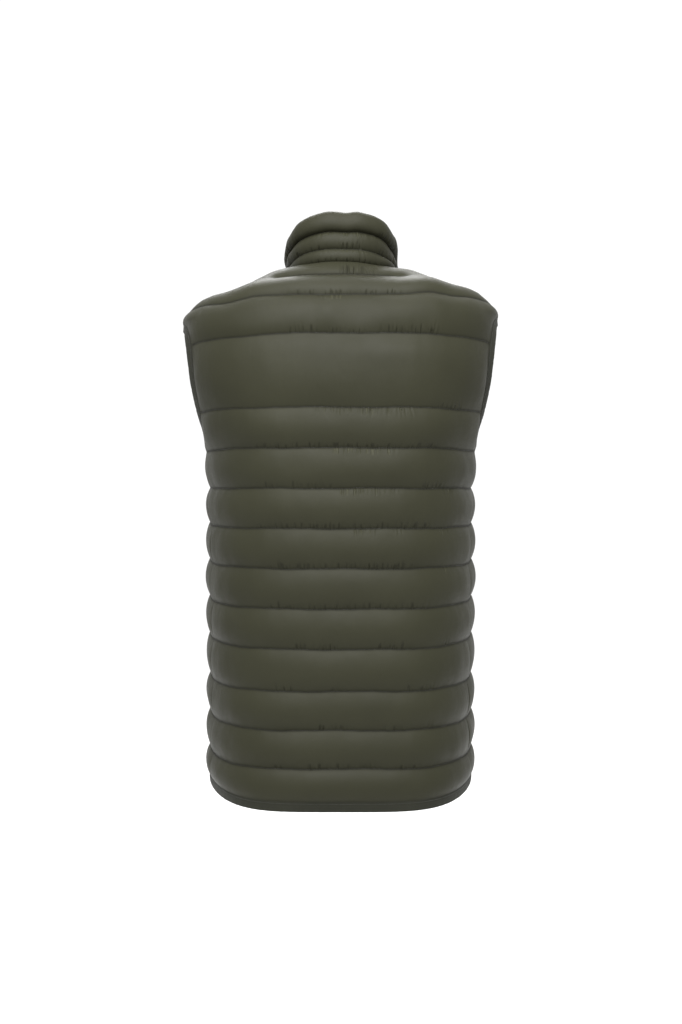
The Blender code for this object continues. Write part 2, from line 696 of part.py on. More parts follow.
def pull_tab(face, middle, material):
    """The tab, hanging from a crossbar under the bridge; its origin is on that bar."""
    pivot_z = middle + BRIDGE_HEIGHT / 2 - BRIDGE_BAR - TAB_BAR / 2 - GAP
    pivot_y = face - GAP - TAB_BAR / 2
    plate_length = TAB_LENGTH - TAB_EYE
    tab = box_object("zip_pull_tab", (0, pivot_y, pivot_z - TAB_EYE - plate_length / 2),
                     (TAB_WIDTH, TAB_THICKNESS, plate_length), TAB_BEVEL, material)
    rail_x = BRIDGE_WIDTH / 2 + TAB_ROOM + TAB_BAR / 2
    rails = [box_object("tab_crossbar", (0, pivot_y, pivot_z),
                        (2 * rail_x + TAB_BAR, TAB_BAR, TAB_BAR), TAB_BAR_BEVEL, material)]
    for sign in (-1, 1):
        rails.append(box_object("tab_rail", (sign * rail_x, pivot_y, pivot_z - TAB_EYE / 2),
                                (TAB_BAR, TAB_RAIL_DEPTH, TAB_EYE + TAB_LAP), 0, material))
    join_to(tab, rails)
    pivot = bpy.data.objects.new("pull_tab_pivot", None)
    bpy.data.collections[GARMENT].objects.link(pivot)
    pivot.location = (0, pivot_y, pivot_z)
    bpy.context.view_layer.update()
    tab.parent = pivot
    tab.matrix_parent_inverse = pivot.matrix_world.inverted()
    return pivot


# ---------------------------------------------------------------- materials
def finish(name, colour, roughness, metallic):
    """A Principled material in one colour."""
    material = bpy.data.materials.new(name)
    material.use_nodes = True
    shader = material.node_tree.nodes["Principled BSDF"]
    shader.inputs["Base Color"].default_value = colour
    shader.inputs["Roughness"].default_value = roughness
    shader.inputs["Metallic"].default_value = metallic
    material.diffuse_color = colour
    return material


def clear_scene():
    """Removes what the file holds and makes the two collections."""
    for item in list(bpy.data.objects):
        bpy.data.objects.remove(item)
    for name in (GARMENT, "cutters"):
        collection = bpy.data.collections.new(name)
        bpy.context.scene.collection.children.link(collection)


def main():
    clear_scene()
    cloth = finish("shell cloth", CLOTH_COLOUR, 0.55, 0.0)
    bound = finish("binding tape", BINDING_COLOUR, 0.65, 0.0)
    tape = finish("zip tape", TAPE_COLOUR, 0.8, 0.0)
    coil = finish("zip coil", TAPE_COLOUR, 0.45, 0.0)
    metal = finish("painted metal", METAL_COLOUR, 0.4, 0.7)

    back, front = back_panel(), front_panel()
    wall_object("back", back[1], back[2], kept_rows(back[0]), cloth)
    wall_object("front_left", front[1], front[2], kept_rows(front[0]), cloth)
    wall_object("front_right", mirrored(front[1]), mirrored(front[2]), kept_rows(front[0]), cloth)
    collar = collar_grids(back, front)
    wall_object("collar", *collar, cloth)

    armhole_binding("armhole_binding_left", back, front, bound)
    right_binding = armhole_binding("armhole_binding_right", back, front, bound)
    right_binding.data.transform(((-1, 0, 0, 0), (0, 1, 0, 0), (0, 0, 1, 0), (0, 0, 0, 1)))
    right_binding.data.flip_normals()
    hem_binding(back, front, bound)

    path, beside, outward = centre_line(front, collar)
    depth = TAPE_CLEARANCE + TAPE_THICKNESS / 2
    tape_lines = [shifted(path, TAPE_INNER), path, beside]
    for name, side in (("zip_tape_left", 1), ("zip_tape_right", -1)):
        lines = [line * [side, 1, 1] for line in tape_lines]
        ribbon(name, lines, outward, depth - TAPE_THICKNESS / 2, depth + TAPE_THICKNESS / 2, tape)
    slider_top = path[-1, 2] - SLIDER_DROP
    chain_low = path[0, 2] + BOX_HEIGHT + GAP
    chain_high = slider_top - POST_HEIGHT - POST_TOP - GAP
    chain_path, chain_out = cut_path(path, outward, chain_low, chain_high)
    chain_lines = [shifted(chain_path, side * CHAIN_HALF_WIDTH) for side in (-1, 1)]
    ribbon("zip_chain", chain_lines, chain_out,
           depth - CHAIN_THICKNESS / 2, depth + CHAIN_THICKNESS / 2, coil)
    slider_y = np.interp(slider_top - SLIDER_HEIGHT / 2, path[:, 2], path[:, 1]) + depth
    face, middle = zip_slider(float(slider_y), float(slider_top), metal)
    pull_tab(face, middle, metal)
    box_z = path[0, 2] + BOX_HEIGHT / 2
    box_y = float(np.interp(box_z, path[:, 2], path[:, 1])) + depth
    box_object("zip_bottom_box", (0, box_y, float(box_z)),
               (2 * CHAIN_HALF_WIDTH, BOX_DEPTH, BOX_HEIGHT), BOX_BEVEL, metal)


main()
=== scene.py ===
"""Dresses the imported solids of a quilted, sleeveless puffer vest.

Each quilted panel is a padded wall whose channels rise between sewn lines and pucker
beside them. Bindings are folded tapes, and the zip is a coil on woven tapes.
"""

import functools
import json
import math
from collections import namedtuple

import bmesh
import bpy
import numpy as np
from bpy.props import FloatProperty, FloatVectorProperty, IntProperty, PointerProperty
from bpy.types import Operator, Panel, PropertyGroup
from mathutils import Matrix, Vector


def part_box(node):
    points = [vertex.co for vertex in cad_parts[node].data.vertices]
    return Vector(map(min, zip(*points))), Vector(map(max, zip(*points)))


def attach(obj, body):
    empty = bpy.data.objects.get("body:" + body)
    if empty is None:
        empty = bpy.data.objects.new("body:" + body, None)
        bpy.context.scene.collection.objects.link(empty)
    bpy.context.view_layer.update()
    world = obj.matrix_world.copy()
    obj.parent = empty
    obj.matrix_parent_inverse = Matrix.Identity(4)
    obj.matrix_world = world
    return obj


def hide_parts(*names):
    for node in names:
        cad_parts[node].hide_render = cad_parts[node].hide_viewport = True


bl_info = {
    "name": "Quilted Puffer Vest",
    "version": (1, 0, 0),
    "blender": (4, 5, 0),
    "location": "View3D > Sidebar > Vest",
    "description": "Builds the cloth, sewing and zip of a quilted vest over its solids",
    "category": "Object",
}

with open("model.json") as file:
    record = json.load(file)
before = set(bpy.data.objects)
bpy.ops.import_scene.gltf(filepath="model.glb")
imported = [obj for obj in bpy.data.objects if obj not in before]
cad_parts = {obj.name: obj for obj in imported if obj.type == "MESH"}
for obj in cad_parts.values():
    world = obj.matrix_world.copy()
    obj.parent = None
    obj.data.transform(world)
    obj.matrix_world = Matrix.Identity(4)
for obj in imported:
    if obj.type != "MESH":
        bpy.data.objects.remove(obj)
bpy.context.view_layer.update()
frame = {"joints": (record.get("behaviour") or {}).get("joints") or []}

# ---------------------------------------------------------------- the cut, in metres
WALL = 0.0020             # cloth wall at a quilting line
GAP = 0.0003              # room between two pieces that meet
QUILT_PITCH = 0.0508
LOWEST_LINE = -0.6247
BODY_LINES = 10
YOKE_LINES = (-0.0740, -0.0230, 0.0110)
FRONT_TOP_LINES = (-0.1167, -0.0659, -0.0230, 0.0110)
HEM_EDGE = -0.6740
HEM_BAND = 0.0127
HEM_SEAM = HEM_EDGE + HEM_BAND
NECK_BACK = 0.0310
NECK_SIDE = 0.0245
NECK_FRONT = -0.0250
SHOULDER_TIP = -0.0420
UNDERARM = -0.2120
SEAM_Y = 0.0150
SEAM_SWING = -0.3400
FRONT_RISE = 0.0050
FRONT_EDGE = 0.0105
ARMHOLE_BACK = 0.0550
ARMHOLE_FRONT = 0.0720
ARMHOLE_POWER = 2.5
BINDING_WIDTH = 0.0110
NECK_HALF_WIDTH = 0.0715
NECK_Y = -0.0300
NECK_FRONT_DEPTH = 0.0800
NECK_SLOPE = 0.463
FULLNESS = 0.0062         # how far a channel stands out
WIDE_FULLNESS = 1.13      # the wide channel's fullness, as a share of the others'
PUFF_POWER = 0.95         # 1: a channel's section is a parabola; below 1 it is fuller
COLLAR_POWER = 0.80
TOP_ROLL_POWER = 0.55     # the same for the collar's top roll
COLLAR_TALL = 0.066       # height that the collar's rows are laid out on

# height, half width, y of the widest point, back y, front y
BODY_SECTIONS = (
    (-0.6740, 0.1830, -0.0370, 0.1130, -0.1270),
    (-0.5700, 0.1815, -0.0370, 0.1070, -0.1270),
    (-0.4700, 0.1825, -0.0370, 0.1070, -0.1300),
    (-0.3640, 0.1830, -0.0370, 0.1085, -0.1370),
    (-0.2700, 0.1825, -0.0370, 0.1130, -0.1460),
    (-0.2170, 0.1880, -0.0360, 0.1155, -0.1510),
    (-0.1680, 0.2020, -0.0280, 0.1175, -0.1530),
    (-0.1200, 0.2110, -0.0180, 0.1180, -0.1490),
    (-0.0760, 0.2145, -0.0090, 0.1150, -0.1380),
    (-0.0450, 0.2125, -0.0010, 0.1090, -0.1240),
    (-0.0260, 0.2055, 0.0000, 0.1020, -0.1110),
    (-0.0160, 0.1910, 0.0000, 0.0960, -0.0940),
    (-0.0050, 0.1620, 0.0000, 0.0860, -0.0720),
    (0.0050, 0.1260, 0.0000, 0.0745, -0.0510),
    (0.0110, 0.1130, -0.0010, 0.0670, -0.0390),
    (0.0180, 0.0950, -0.0020, 0.0570, -0.0245),
    (0.0245, 0.0664, -0.0030, 0.0500, -0.0150),
    (0.0310, 0.0560, -0.0030, 0.0410, -0.0080),
)
# height, back power across, back power in depth, front power across, front power in depth
SECTION_POWERS = (
    (-0.6740, 4.4, 1.3, 2.6, 1.8),
    (-0.4500, 3.9, 1.4, 2.6, 1.8),
    (-0.1500, 3.6, 1.5, 2.6, 1.8),
    (-0.0900, 3.4, 1.6, 2.6, 1.8),
    (0.0000, 2.7, 1.7, 2.4, 2.0),
    (0.0310, 2.3, 1.8, 2.4, 2.0),
)
# height of a back line at the centre, how far it drops at its ends
BACK_DROOP = (
    (-0.1675, 0.0),
    (-0.0740, -0.0045),
    (-0.0230, -0.0030),
    (0.0110, -0.0060),
    (0.0310, -0.0065),
)
# turn from the centre back (degrees), height of the collar, lean outwards at its top
COLLAR_SECTIONS = (
    (0.0, 0.0690, -0.0060),
    (30.0, 0.0680, -0.0030),
    (50.0, 0.0630, 0.0005),
    (68.0, 0.0550, 0.0010),
    (90.0, 0.0540, 0.0000),
    (135.0, 0.0550, 0.0000),
    (180.0, 0.0530, -0.0020),
)
# height, how far the armhole binding leans outwards for each unit it reaches inwards
BINDING_FLARES = (
    (-0.2120, -0.15),
    (-0.1900, 0.20),
    (-0.1200, 0.85),
    (-0.0700, 0.80),
    (-0.0500, 0.30),
    (-0.0420, 0.08),
)
COLLAR_LINES = (0.26, 0.60)
COLLAR_PUFFS = (0.0036, 0.0042, 0.0080)

# height of a quilting line, how far the sewing strays from it at the sides and at the
# centre back
LINE_STRAYS = (
    (HEM_SEAM, -0.0030, -0.0030),
    (-0.6247, -0.0033, 0.0023),
    (-0.5739, -0.0050, -0.0006),
    (-0.5231, -0.0054, -0.0023),
    (-0.4723, -0.0008, -0.0002),
    (-0.3699, 0.0, 0.0),
    (-0.0230, 0.0, 0.0),
    (0.0110, 0.0, -0.0030),
    (0.0310, 0.0, 0.0),
)

# Puckers on the back. Line number from the hem, side of the line (1 above, -1 below),
# from and to along the line from the centre back, spacing, length, depth
BACK_PUCKERS = (
    (1, 1, -0.100, -0.074, 0.0062, 0.0078, 0.00070),
    (1, 1, -0.049, 0.044, 0.0060, 0.0080, 0.00065),
    (1, 1, 0.074, 0.084, 0.0058, 0.0075, 0.00060),
    (2, 1, -0.125, -0.110, 0.0060, 0.0080, 0.00070),
    (2, 1, -0.077, -0.054, 0.0056, 0.0085, 0.00080),
    (2, 1, -0.008, 0.028, 0.0060, 0.0080, 0.00075),
    (3, 1, -0.126, -0.080, 0.0062, 0.0085, 0.00080),
    (3, 1, 0.003, 0.012, 0.0056, 0.0080, 0.00070),
    (3, 1, 0.061, 0.084, 0.0058, 0.0085, 0.00075),
    (4, 1, -0.148, -0.139, 0.0056, 0.0080, 0.00070),
    (4, 1, -0.089, -0.047, 0.0060, 0.0085, 0.00085),
    (4, 1, 0.005, 0.064, 0.0062, 0.0085, 0.00080),
    (5, 1, -0.114, 0.092, 0.0064, 0.0082, 0.00070),
    (6, -1, -0.152, -0.128, 0.0060, 0.0085, 0.00065),
    (6, 1, -0.094, 0.089, 0.0062, 0.0085, 0.00075),
    (7, -1, -0.145, -0.130, 0.0058, 0.0088, 0.00080),
    (7, -1, -0.077, -0.066, 0.0056, 0.0088, 0.00080),
    (7, -1, -0.045, -0.016, 0.0056, 0.0090, 0.00085),
    (7, 1, -0.114, 0.108, 0.0060, 0.0082, 0.00070),
    (8, -1, -0.157, -0.136, 0.0060, 0.0090, 0.00080),
    (8, -1, -0.069, 0.008, 0.0056, 0.0095, 0.00090),
    (8, 1, -0.138, -0.105, 0.0062, 0.0085, 0.00075),
    (8, 1, 0.012, 0.064, 0.0058, 0.0085, 0.00080),
    (8, 1, 0.081, 0.096, 0.0058, 0.0085, 0.00075),
    (9, -1, -0.069, 0.014, 0.0058, 0.0092, 0.00080),
    (9, 1, -0.126, 0.133, 0.0070, 0.0070, 0.00045),
    (10, -1, -0.024, 0.033, 0.0058, 0.0090, 0.00085),
    (10, -1, -0.088, -0.024, 0.0054, 0.0105, 0.00115),
    (10, 1, -0.163, -0.111, 0.0070, 0.0085, 0.00060),
    (11, 1, -0.126, -0.048, 0.0056, 0.0095, 0.00110),
    (11, 1, -0.030, 0.020, 0.0080, 0.0070, 0.00045),
    (11, 1, 0.031, 0.064, 0.0054, 0.0095, 0.00115),
    (12, -1, -0.004, 0.030, 0.0054, 0.0085, 0.00095),
    (12, 1, -0.080, 0.070, 0.0105, 0.0060, 0.00035),
    (13, 1, -0.042, 0.004, 0.0052, 0.0100, 0.00125),
    (13, -1, -0.060, 0.060, 0.0090, 0.0065, 0.00040),
)
# The same for a front, measured from the zip's edge
FRONT_PUCKERS = (
    (1, 1, 0.040, 0.190, 0.0072, 0.0095, 0.00075),
    (2, 1, 0.015, 0.120, 0.0068, 0.0100, 0.00080),
    (2, -1, 0.100, 0.170, 0.0080, 0.0110, 0.00060),
    (3, 1, 0.050, 0.200, 0.0072, 0.0090, 0.00080),
    (4, 1, 0.012, 0.090, 0.0066, 0.0105, 0.00085),
    (4, 1, 0.120, 0.185, 0.0076, 0.0090, 0.00065),
    (5, 1, 0.030, 0.175, 0.0070, 0.0100, 0.00080),
    (5, -1, 0.020, 0.080, 0.0066, 0.0120, 0.00080),
    (6, 1, 0.012, 0.150, 0.0066, 0.0110, 0.00085),
    (7, 1, 0.060, 0.190, 0.0074, 0.0100, 0.00075),
    (7, -1, 0.015, 0.095, 0.0064, 0.0130, 0.00095),
    (8, 1, 0.012, 0.120, 0.0068, 0.0105, 0.00080),
    (8, -1, 0.070, 0.150, 0.0070, 0.0120, 0.00080),
    (9, 1, 0.050, 0.170, 0.0070, 0.0095, 0.00075),
    (9, -1, 0.014, 0.085, 0.0060, 0.0140, 0.00105),
    (10, 1, 0.012, 0.110, 0.0068, 0.0100, 0.00080),
    (10, -1, 0.090, 0.160, 0.0072, 0.0110, 0.00070),
    (11, 1, 0.020, 0.140, 0.0066, 0.0105, 0.00085),
    (11, -1, 0.012, 0.070, 0.0062, 0.0130, 0.00090),
    (12, 1, 0.015, 0.120, 0.0068, 0.0100, 0.00085),
    (12, -1, 0.060, 0.130, 0.0074, 0.0100, 0.00070),
    (13, 1, 0.020, 0.110, 0.0070, 0.0090, 0.00050),
)
# The same for the collar, measured from the centre back towards the left
COLLAR_PUCKERS = (
    (0, 1, -0.060, 0.060, 0.0085, 0.0070, 0.00050),
    (1, 1, -0.026, 0.004, 0.0052, 0.0090, 0.00075),
    (1, 1, 0.020, 0.070, 0.0085, 0.0070, 0.00055),
    (1, 1, -0.110, -0.050, 0.0080, 0.0080, 0.00060),
    (1, -1, -0.040, 0.030, 0.0075, 0.0060, 0.00045),
    (1, 1, 0.100, 0.200, 0.0080, 0.0080, 0.00065),
    (1, 1, -0.200, -0.130, 0.0078, 0.0080, 0.00065),
    (2, -1, -0.050, 0.040, 0.0090, 0.0070, 0.00050),
    (2, 1, -0.090, -0.050, 0.0090, 0.0100, 0.00070),
    (2, 1, 0.060, 0.120, 0.0095, 0.0100, 0.00070),
    (2, 1, -0.200, -0.140, 0.0100, 0.0100, 0.00080),
)
# Soft hollows (depth above zero) and swells (below zero) of the back. Distance from the
# centre back, height, half size along the line, half size in height, lean, depth
BACK_HOLLOWS = (
    (0.034, -0.044, 0.010, 0.026, -0.25, 0.0014),
    (-0.020, -0.046, 0.026, 0.020, 0.10, 0.0016),
    (0.014, -0.050, 0.013, 0.018, -0.20, -0.0012),
    (-0.078, -0.046, 0.042, 0.014, 0.05, -0.0010),
    (0.095, -0.050, 0.030, 0.020, -0.15, 0.0008),
    (-0.150, -0.055, 0.018, 0.026, 0.30, 0.0012),
    (-0.070, -0.098, 0.060, 0.012, 0.05, -0.0012),
    (0.010, -0.112, 0.030, 0.016, 0.00, 0.0008),
    (0.110, -0.115, 0.050, 0.022, -0.20, 0.0010),
    (-0.145, -0.130, 0.024, 0.030, 0.30, 0.0014),
    (-0.165, -0.195, 0.022, 0.022, 0.35, 0.0012),
    (0.150, -0.190, 0.030, 0.016, -0.30, 0.0010),
    (0.060, -0.240, 0.045, 0.014, 0.10, 0.0008),
    (-0.120, -0.290, 0.040, 0.014, -0.10, 0.0009),
    (0.120, -0.340, 0.036, 0.015, 0.15, 0.0009),
    (-0.020, -0.395, 0.050, 0.012, 0.00, 0.0007),
    (-0.140, -0.450, 0.030, 0.015, -0.20, 0.0009),
    (0.090, -0.500, 0.046, 0.014, 0.10, 0.0009),
    (-0.060, -0.555, 0.052, 0.013, -0.05, 0.0008),
    (0.150, -0.600, 0.026, 0.016, 0.20, 0.0010),
)
FRONT_HOLLOWS = (
    (0.060, -0.052, 0.016, 0.024, -0.20, 0.0012),
    (0.110, -0.095, 0.030, 0.018, 0.25, 0.0012),
    (0.040, -0.140, 0.028, 0.016, -0.10, 0.0010),
    (0.130, -0.185, 0.026, 0.018, 0.30, 0.0014),
    (0.070, -0.245, 0.040, 0.014, 0.10, 0.0009),
    (0.150, -0.290, 0.030, 0.016, -0.15, 0.0010),
    (0.050, -0.345, 0.036, 0.014, 0.05, 0.0009),
    (0.120, -0.400, 0.040, 0.014, -0.10, 0.0009),
    (0.040, -0.450, 0.030, 0.015, 0.10, 0.0009),
    (0.160, -0.500, 0.026, 0.016, 0.20, 0.0010),
    (0.080, -0.555, 0.044, 0.013, -0.05, 0.0008),
    (0.130, -0.610, 0.034, 0.015, 0.10, 0.0009),
)
# Distance along the collar from the centre back, half size, rise of its top edge
COLLAR_CRESTS = (
    (0.020, 0.010, 0.0009),
    (-0.006, 0.009, -0.0014),
    (-0.022, 0.009, 0.0009),
    (0.052, 0.016, -0.0008),
    (-0.055, 0.018, 0.0006),
    (0.110, 0.022, 0.0010),
    (-0.120, 0.020, 0.0008),
)
# Length and size of the waves that make a channel's fullness and a sewn line uneven
CHANNEL_WAVES = ((0.190, 0.075), (0.083, 0.045), (0.037, 0.022))
LINE_WAVES = ((0.130, 0.0005), (0.052, 0.0002), (0.019, 0.00012))
# How the vest hangs: distance of a swell of the shoulders from the middle, its half size
# and its rise; how far the right shoulder rises and the left one drops; how far the tips
# stand out; how far the collar leans, and its right side stands out at its fold
SHOULDER_SWELLS = ((0.110, 0.020, 0.0032), (0.150, 0.018, -0.0016))
SHOULDER_LIFT = 0.0046
TIP_SPREAD = 0.0036
COLLAR_TILT = 0.0015
COLLAR_FOLD = 0.0045

BACK_COLUMNS = 300
FRONT_COLUMNS = 150
COLLAR_COLUMNS = 300
ROW_PITCH = 0.0030
HEM_STEPS = 640
ARMHOLE_STEPS = 340
ZIP_STEPS = 420
WALL_FACE_ROWS = 6        # outer rows for each row of a panel's inner face
SEAM_FULLNESS = 0.86      # how much of a channel's fullness reaches a side or shoulder seam
SEAM_FADE = 0.0055
BOUND_FADE = 0.0110       # length over which a channel flattens towards a binding
TIP_FADE = 0.0120         # how much longer that is at the shoulder's tip
FRONT_FADE = 0.0105       # length over which a front flattens towards the zip
VALLEY = 0.0012           # how far a sewn line's shade reaches from it
LAP = 0.0016              # how far a binding laps over the panel
TAPE_THICK = 0.0005       # thickness of the binding tape
TAPE_LIFT = 0.0006        # how far the binding tape stands off the panel
HEM_DROP = 0.0023         # how far the folded hem tape hangs below the solid's edge
HEM_TAPE = HEM_BAND + HEM_DROP + LINE_STRAYS[0][1]    # width of its outer leaf

TAPE_INNER = 0.0033
TAPE_OUTER = 0.0145
TAPE_THICKNESS = 0.0010
TAPE_CLEARANCE = 0.0009
CHAIN_DEPTH = TAPE_CLEARANCE + TAPE_THICKNESS / 2
TAPE_CORD = 0.0004        # how near to the middle the tape comes under the coil
TOOTH_SIZE = (0.0034, 0.0021, 0.00095)
TOOTH_OFFSET = 0.00115
PLATE = 0.0013            # thickness of the slider's plates
PIVOT_RADIUS = 0.00055

FLOOR_HEIGHT = -1.45
FLOOR_SIZE = 14.0
CAMERA_PLACE = (-0.0006, 1.368, -0.270)
CAMERA_LENS = 35.156
CAMERA_SHIFT = -0.02246


# ---------------------------------------------------------------- curves and sections
def smooth_table(table, column):
    """A function that runs smoothly, without overshoot, through one column of a table."""
    data = np.array(table, float)
    xs, ys = data[:, 0], data[:, column]
    steps = np.diff(xs)
    rises = np.diff(ys) / steps
    slopes = np.zeros_like(ys)
    for i in range(1, len(ys) - 1):
        if rises[i - 1] * rises[i] > 0:
            before = 2 * steps[i] + steps[i - 1]
            after = steps[i] + 2 * steps[i - 1]
            slopes[i] = (before + after) / (before / rises[i - 1] + after / rises[i])
    slopes[0], slopes[-1] = rises[0], rises[-1]

    def value(x):
        x = np.clip(x, xs[0], xs[-1])
        i = np.clip(np.searchsorted(xs, x, side="right") - 1, 0, len(steps) - 1)
        h = steps[i]
        t = (x - xs[i]) / h
        near = (1 + 2 * t) * (1 - t) ** 2 * ys[i] + t * (1 - t) ** 2 * h * slopes[i]
        far = t * t * (3 - 2 * t) * ys[i + 1] + t * t * (t - 1) * h * slopes[i + 1]
        return near + far

    return value


half_width, widest_y, back_y, front_y = (smooth_table(BODY_SECTIONS, k) for k in (1, 2, 3, 4))
back_across, back_depth, front_across, front_depth = (smooth_table(SECTION_POWERS, k)
                                                      for k in (1, 2, 3, 4))
back_droop = smooth_table(BACK_DROOP, 1)
collar_height, collar_lean = (smooth_table(COLLAR_SECTIONS, k) for k in (1, 2))
binding_flare = smooth_table(BINDING_FLARES, 1)
side_stray, centre_stray = (smooth_table(LINE_STRAYS, k) for k in (1, 2))


def ease(x):
    """0 below 0, 1 above 1, and a smooth step between."""
    x = np.clip(x, 0.0, 1.0)
    return x * x * (3 - 2 * x)


def unit(v):
    """The vectors v, each made one long."""
    return v / np.maximum(np.linalg.norm(v, axis=-1, keepdims=True), 1e-12)


def bell(x):
    """1 at 0, falling smoothly to nothing by about 2.5 either way."""
    return np.exp(-x * x)


def body_point(z, turn):
    """Points of the body at heights z; turn runs from 0, centre back, over 1, the widest
    point, to 2, centre front. They lie on the wearer's left, at positive X."""
    share = np.clip(np.sin(np.minimum(turn, 2 - turn) * math.pi / 2), 0.0, 1.0)
    at_back = np.maximum(1 - share ** back_across(z), 0) ** (1 / back_depth(z))
    at_front = np.maximum(1 - share ** front_across(z), 0) ** (1 / front_depth(z))
    deep_back = (back_y(z) - widest_y(z)) * at_back
    deep_front = (front_y(z) - widest_y(z)) * at_front
    y = widest_y(z) + np.where(turn <= 1, deep_back, deep_front)
    return np.stack([half_width(z) * share, y, z + 0 * y], axis=-1)


def waves(along, phases, parts):
    """A sum of waves along a line; parts holds each one's length and size."""
    return sum(size * np.sin(2 * math.pi * (along / length + phases[..., k]))
               for k, (length, size) in enumerate(parts))


def section_half(y, z):
    """Whether y lies in the back half of the section at z, its share of that half's depth,
    and the half's powers across and in depth."""
    centre = widest_y(z)
    behind = y >= centre
    depth = np.where(behind, back_y(z) - centre, centre - front_y(z))
    across_power = np.where(behind, back_across(z), front_across(z))
    depth_power = np.where(behind, back_depth(z), front_depth(z))
    return behind, np.abs(y - centre) / depth, across_power, depth_power


def body_level(x, y, z):
    """Below 1 inside the body's section at z and above 1 outside it."""
    _, deep, across_power, depth_power = section_half(y, z)
    return (np.abs(x) / half_width(z)) ** across_power + deep ** depth_power


def body_normal(points):
    """Outward directions at points of the body."""
    h = 0.0002
    x, y, z = np.abs(points[..., 0]), points[..., 1], points[..., 2]
    slope_x = body_level(x + h, y, z) - body_level(np.abs(x - h), y, z)
    slope_x = np.where(x < h, 0.0, slope_x)
    slope_y = body_level(x, y + h, z) - body_level(x, y - h, z)
    slope_z = body_level(x, y, z + h) - body_level(x, y, z - h)
    normals = unit(np.stack([slope_x, slope_y, slope_z], axis=-1))
    normals[..., 0] *= np.where(points[..., 0] < 0, -1, 1)
    return normals


def turn_at_y(z, y):
    """Where the body's section at z reaches y, as a turn."""
    behind, deep, across_power, depth_power = section_half(y, z)
    share = np.maximum(1 - np.clip(deep, 0, 1) ** depth_power, 0) ** (1 / across_power)
    turn = np.arcsin(np.clip(share, 0, 1)) * 2 / math.pi
    return np.where(behind, turn, 2 - turn)


def turn_at_x(z, x):
    """Where the front of the body's section at z reaches x, as a turn."""
    return 2 - np.arcsin(np.clip(x / half_width(z), 0, 1)) * 2 / math.pi


def armhole_y(z, half):
    """The armhole's edge at height z, half in front of or behind its middle."""
    middle, reach = (UNDERARM + SHOULDER_TIP) / 2, (SHOULDER_TIP - UNDERARM) / 2
    up = np.clip((z - UNDERARM) / (2 * reach), 0, 1)
    centre = widest_y(UNDERARM) * (1 - up) + widest_y(SHOULDER_TIP) * up
    away = np.clip(np.abs(z - middle) / reach, 0, 1) ** ARMHOLE_POWER
    return centre + half * (1 - away) ** (1 / ARMHOLE_POWER)


def outer_turn(z, half):
    """A panel's outer edge: side seam, then armhole, then shoulder seam."""
    low, top = SEAM_Y, widest_y(UNDERARM)
    seam = low + (top - low) * ease((z - SEAM_SWING) / (UNDERARM - SEAM_SWING))
    y = np.where(z < UNDERARM, seam, armhole_y(z, half))
    y = np.where(z > SHOULDER_TIP, widest_y(z), y)
    return turn_at_y(z, y)


def neck_x(z):
    """Half width of the neck seam at height z, from the centre front to the shoulder seam."""
    back = (z - NECK_FRONT) / NECK_SLOPE - NECK_FRONT_DEPTH
    away = np.clip(np.abs(back) / NECK_FRONT_DEPTH, 0, 1)
    return NECK_HALF_WIDTH * np.sqrt(1 - away ** 2)


def worn_lean(points):
    """The points as the vest hangs: its shoulders are full beside the neck and square at
    their tips, the right one sits a little higher, and the collar leans to the right."""
    x, z = points[..., 0], points[..., 2]
    wide, side = np.abs(x), np.sign(x)
    root = sum(rise * bell((wide - place) / reach) for place, reach, rise in SHOULDER_SWELLS)
    lift = SHOULDER_LIFT * ease((wide - 0.05) / 0.10) * ease((z + 0.115) / 0.07) ** 2
    moved = points.copy()
    moved[..., 2] += root * ease((z + 0.060) / 0.05) - side * lift
    moved[..., 0] += side * TIP_SPREAD * bell((z + 0.035) / 0.009) * ease((wide - 0.185) / 0.018)
    moved[..., 0] -= COLLAR_TILT * ease((z - 0.045) / 0.03)
    moved[..., 0] -= COLLAR_FOLD * bell((z - 0.037) / 0.009) * ease((-x - 0.050) / 0.015)
    return moved


# ---------------------------------------------------------------- padded panels
class Rows:
    """A panel's rows of points: height, share of the way up the channel, channel number,
    and fullness of the channel, each as a column that meets the panel's columns."""

    def __init__(self, lines, puffs, extra):
        found = []
        for channel, (low, high) in enumerate(zip(lines, lines[1:])):
            count = max(8, round((high - low) / ROW_PITCH))
            even = np.arange(1, count) / count
            shares = 0.4 * even + 0.6 * (1 - np.cos(math.pi * even)) / 2
            heights = list(low + (high - low) * shares)
            wanted = [h for h in extra if low + 0.0005 < h < high - 0.0005]
            heights = [h for h in heights if all(abs(h - w) > 0.0007 for w in wanted)]
            found.append((low, 0.0, channel))
            found += [(h, (h - low) / (high - low), channel) for h in sorted(heights + wanted)]
        found.append((lines[-1], 1.0, len(lines) - 2))
        table = np.array(found)
        self.lines = np.array(lines)
        self.height = table[:, :1]
        self.share = table[:, 1:2]
        self.channel = table[:, 2].astype(int)[:, None]
        self.puff = np.array(puffs)[self.channel]
        self.span = np.diff(self.lines)[self.channel]

    def line_rows(self):
        """Indices of the rows that are sewn."""
        return [int(np.argmin(np.abs(self.height[:, 0] - z))) for z in self.lines]

    def arch(self, power):
        """How full a channel is at each row, from 0 at its lines to 1 between them."""
        return (4 * self.share * (1 - self.share)) ** power

    def valley(self):
        """How near each row is to a sewn line, from 0 to 1: the mask of the painted shade along it.
        """
        return bell(np.minimum(self.share, 1 - self.share) * self.span / VALLEY)


# A padded wall: grids of outer points, inner points and outward directions, the flat
# cloth's own coordinates, how close each point is to a sewn line (the mask of the painted
# shade along it) and how gathered (the mask of the tucks' bump, painted shade and highlight)
Shape = namedtuple("Shape", "rows outer inner normals flat valley gather")


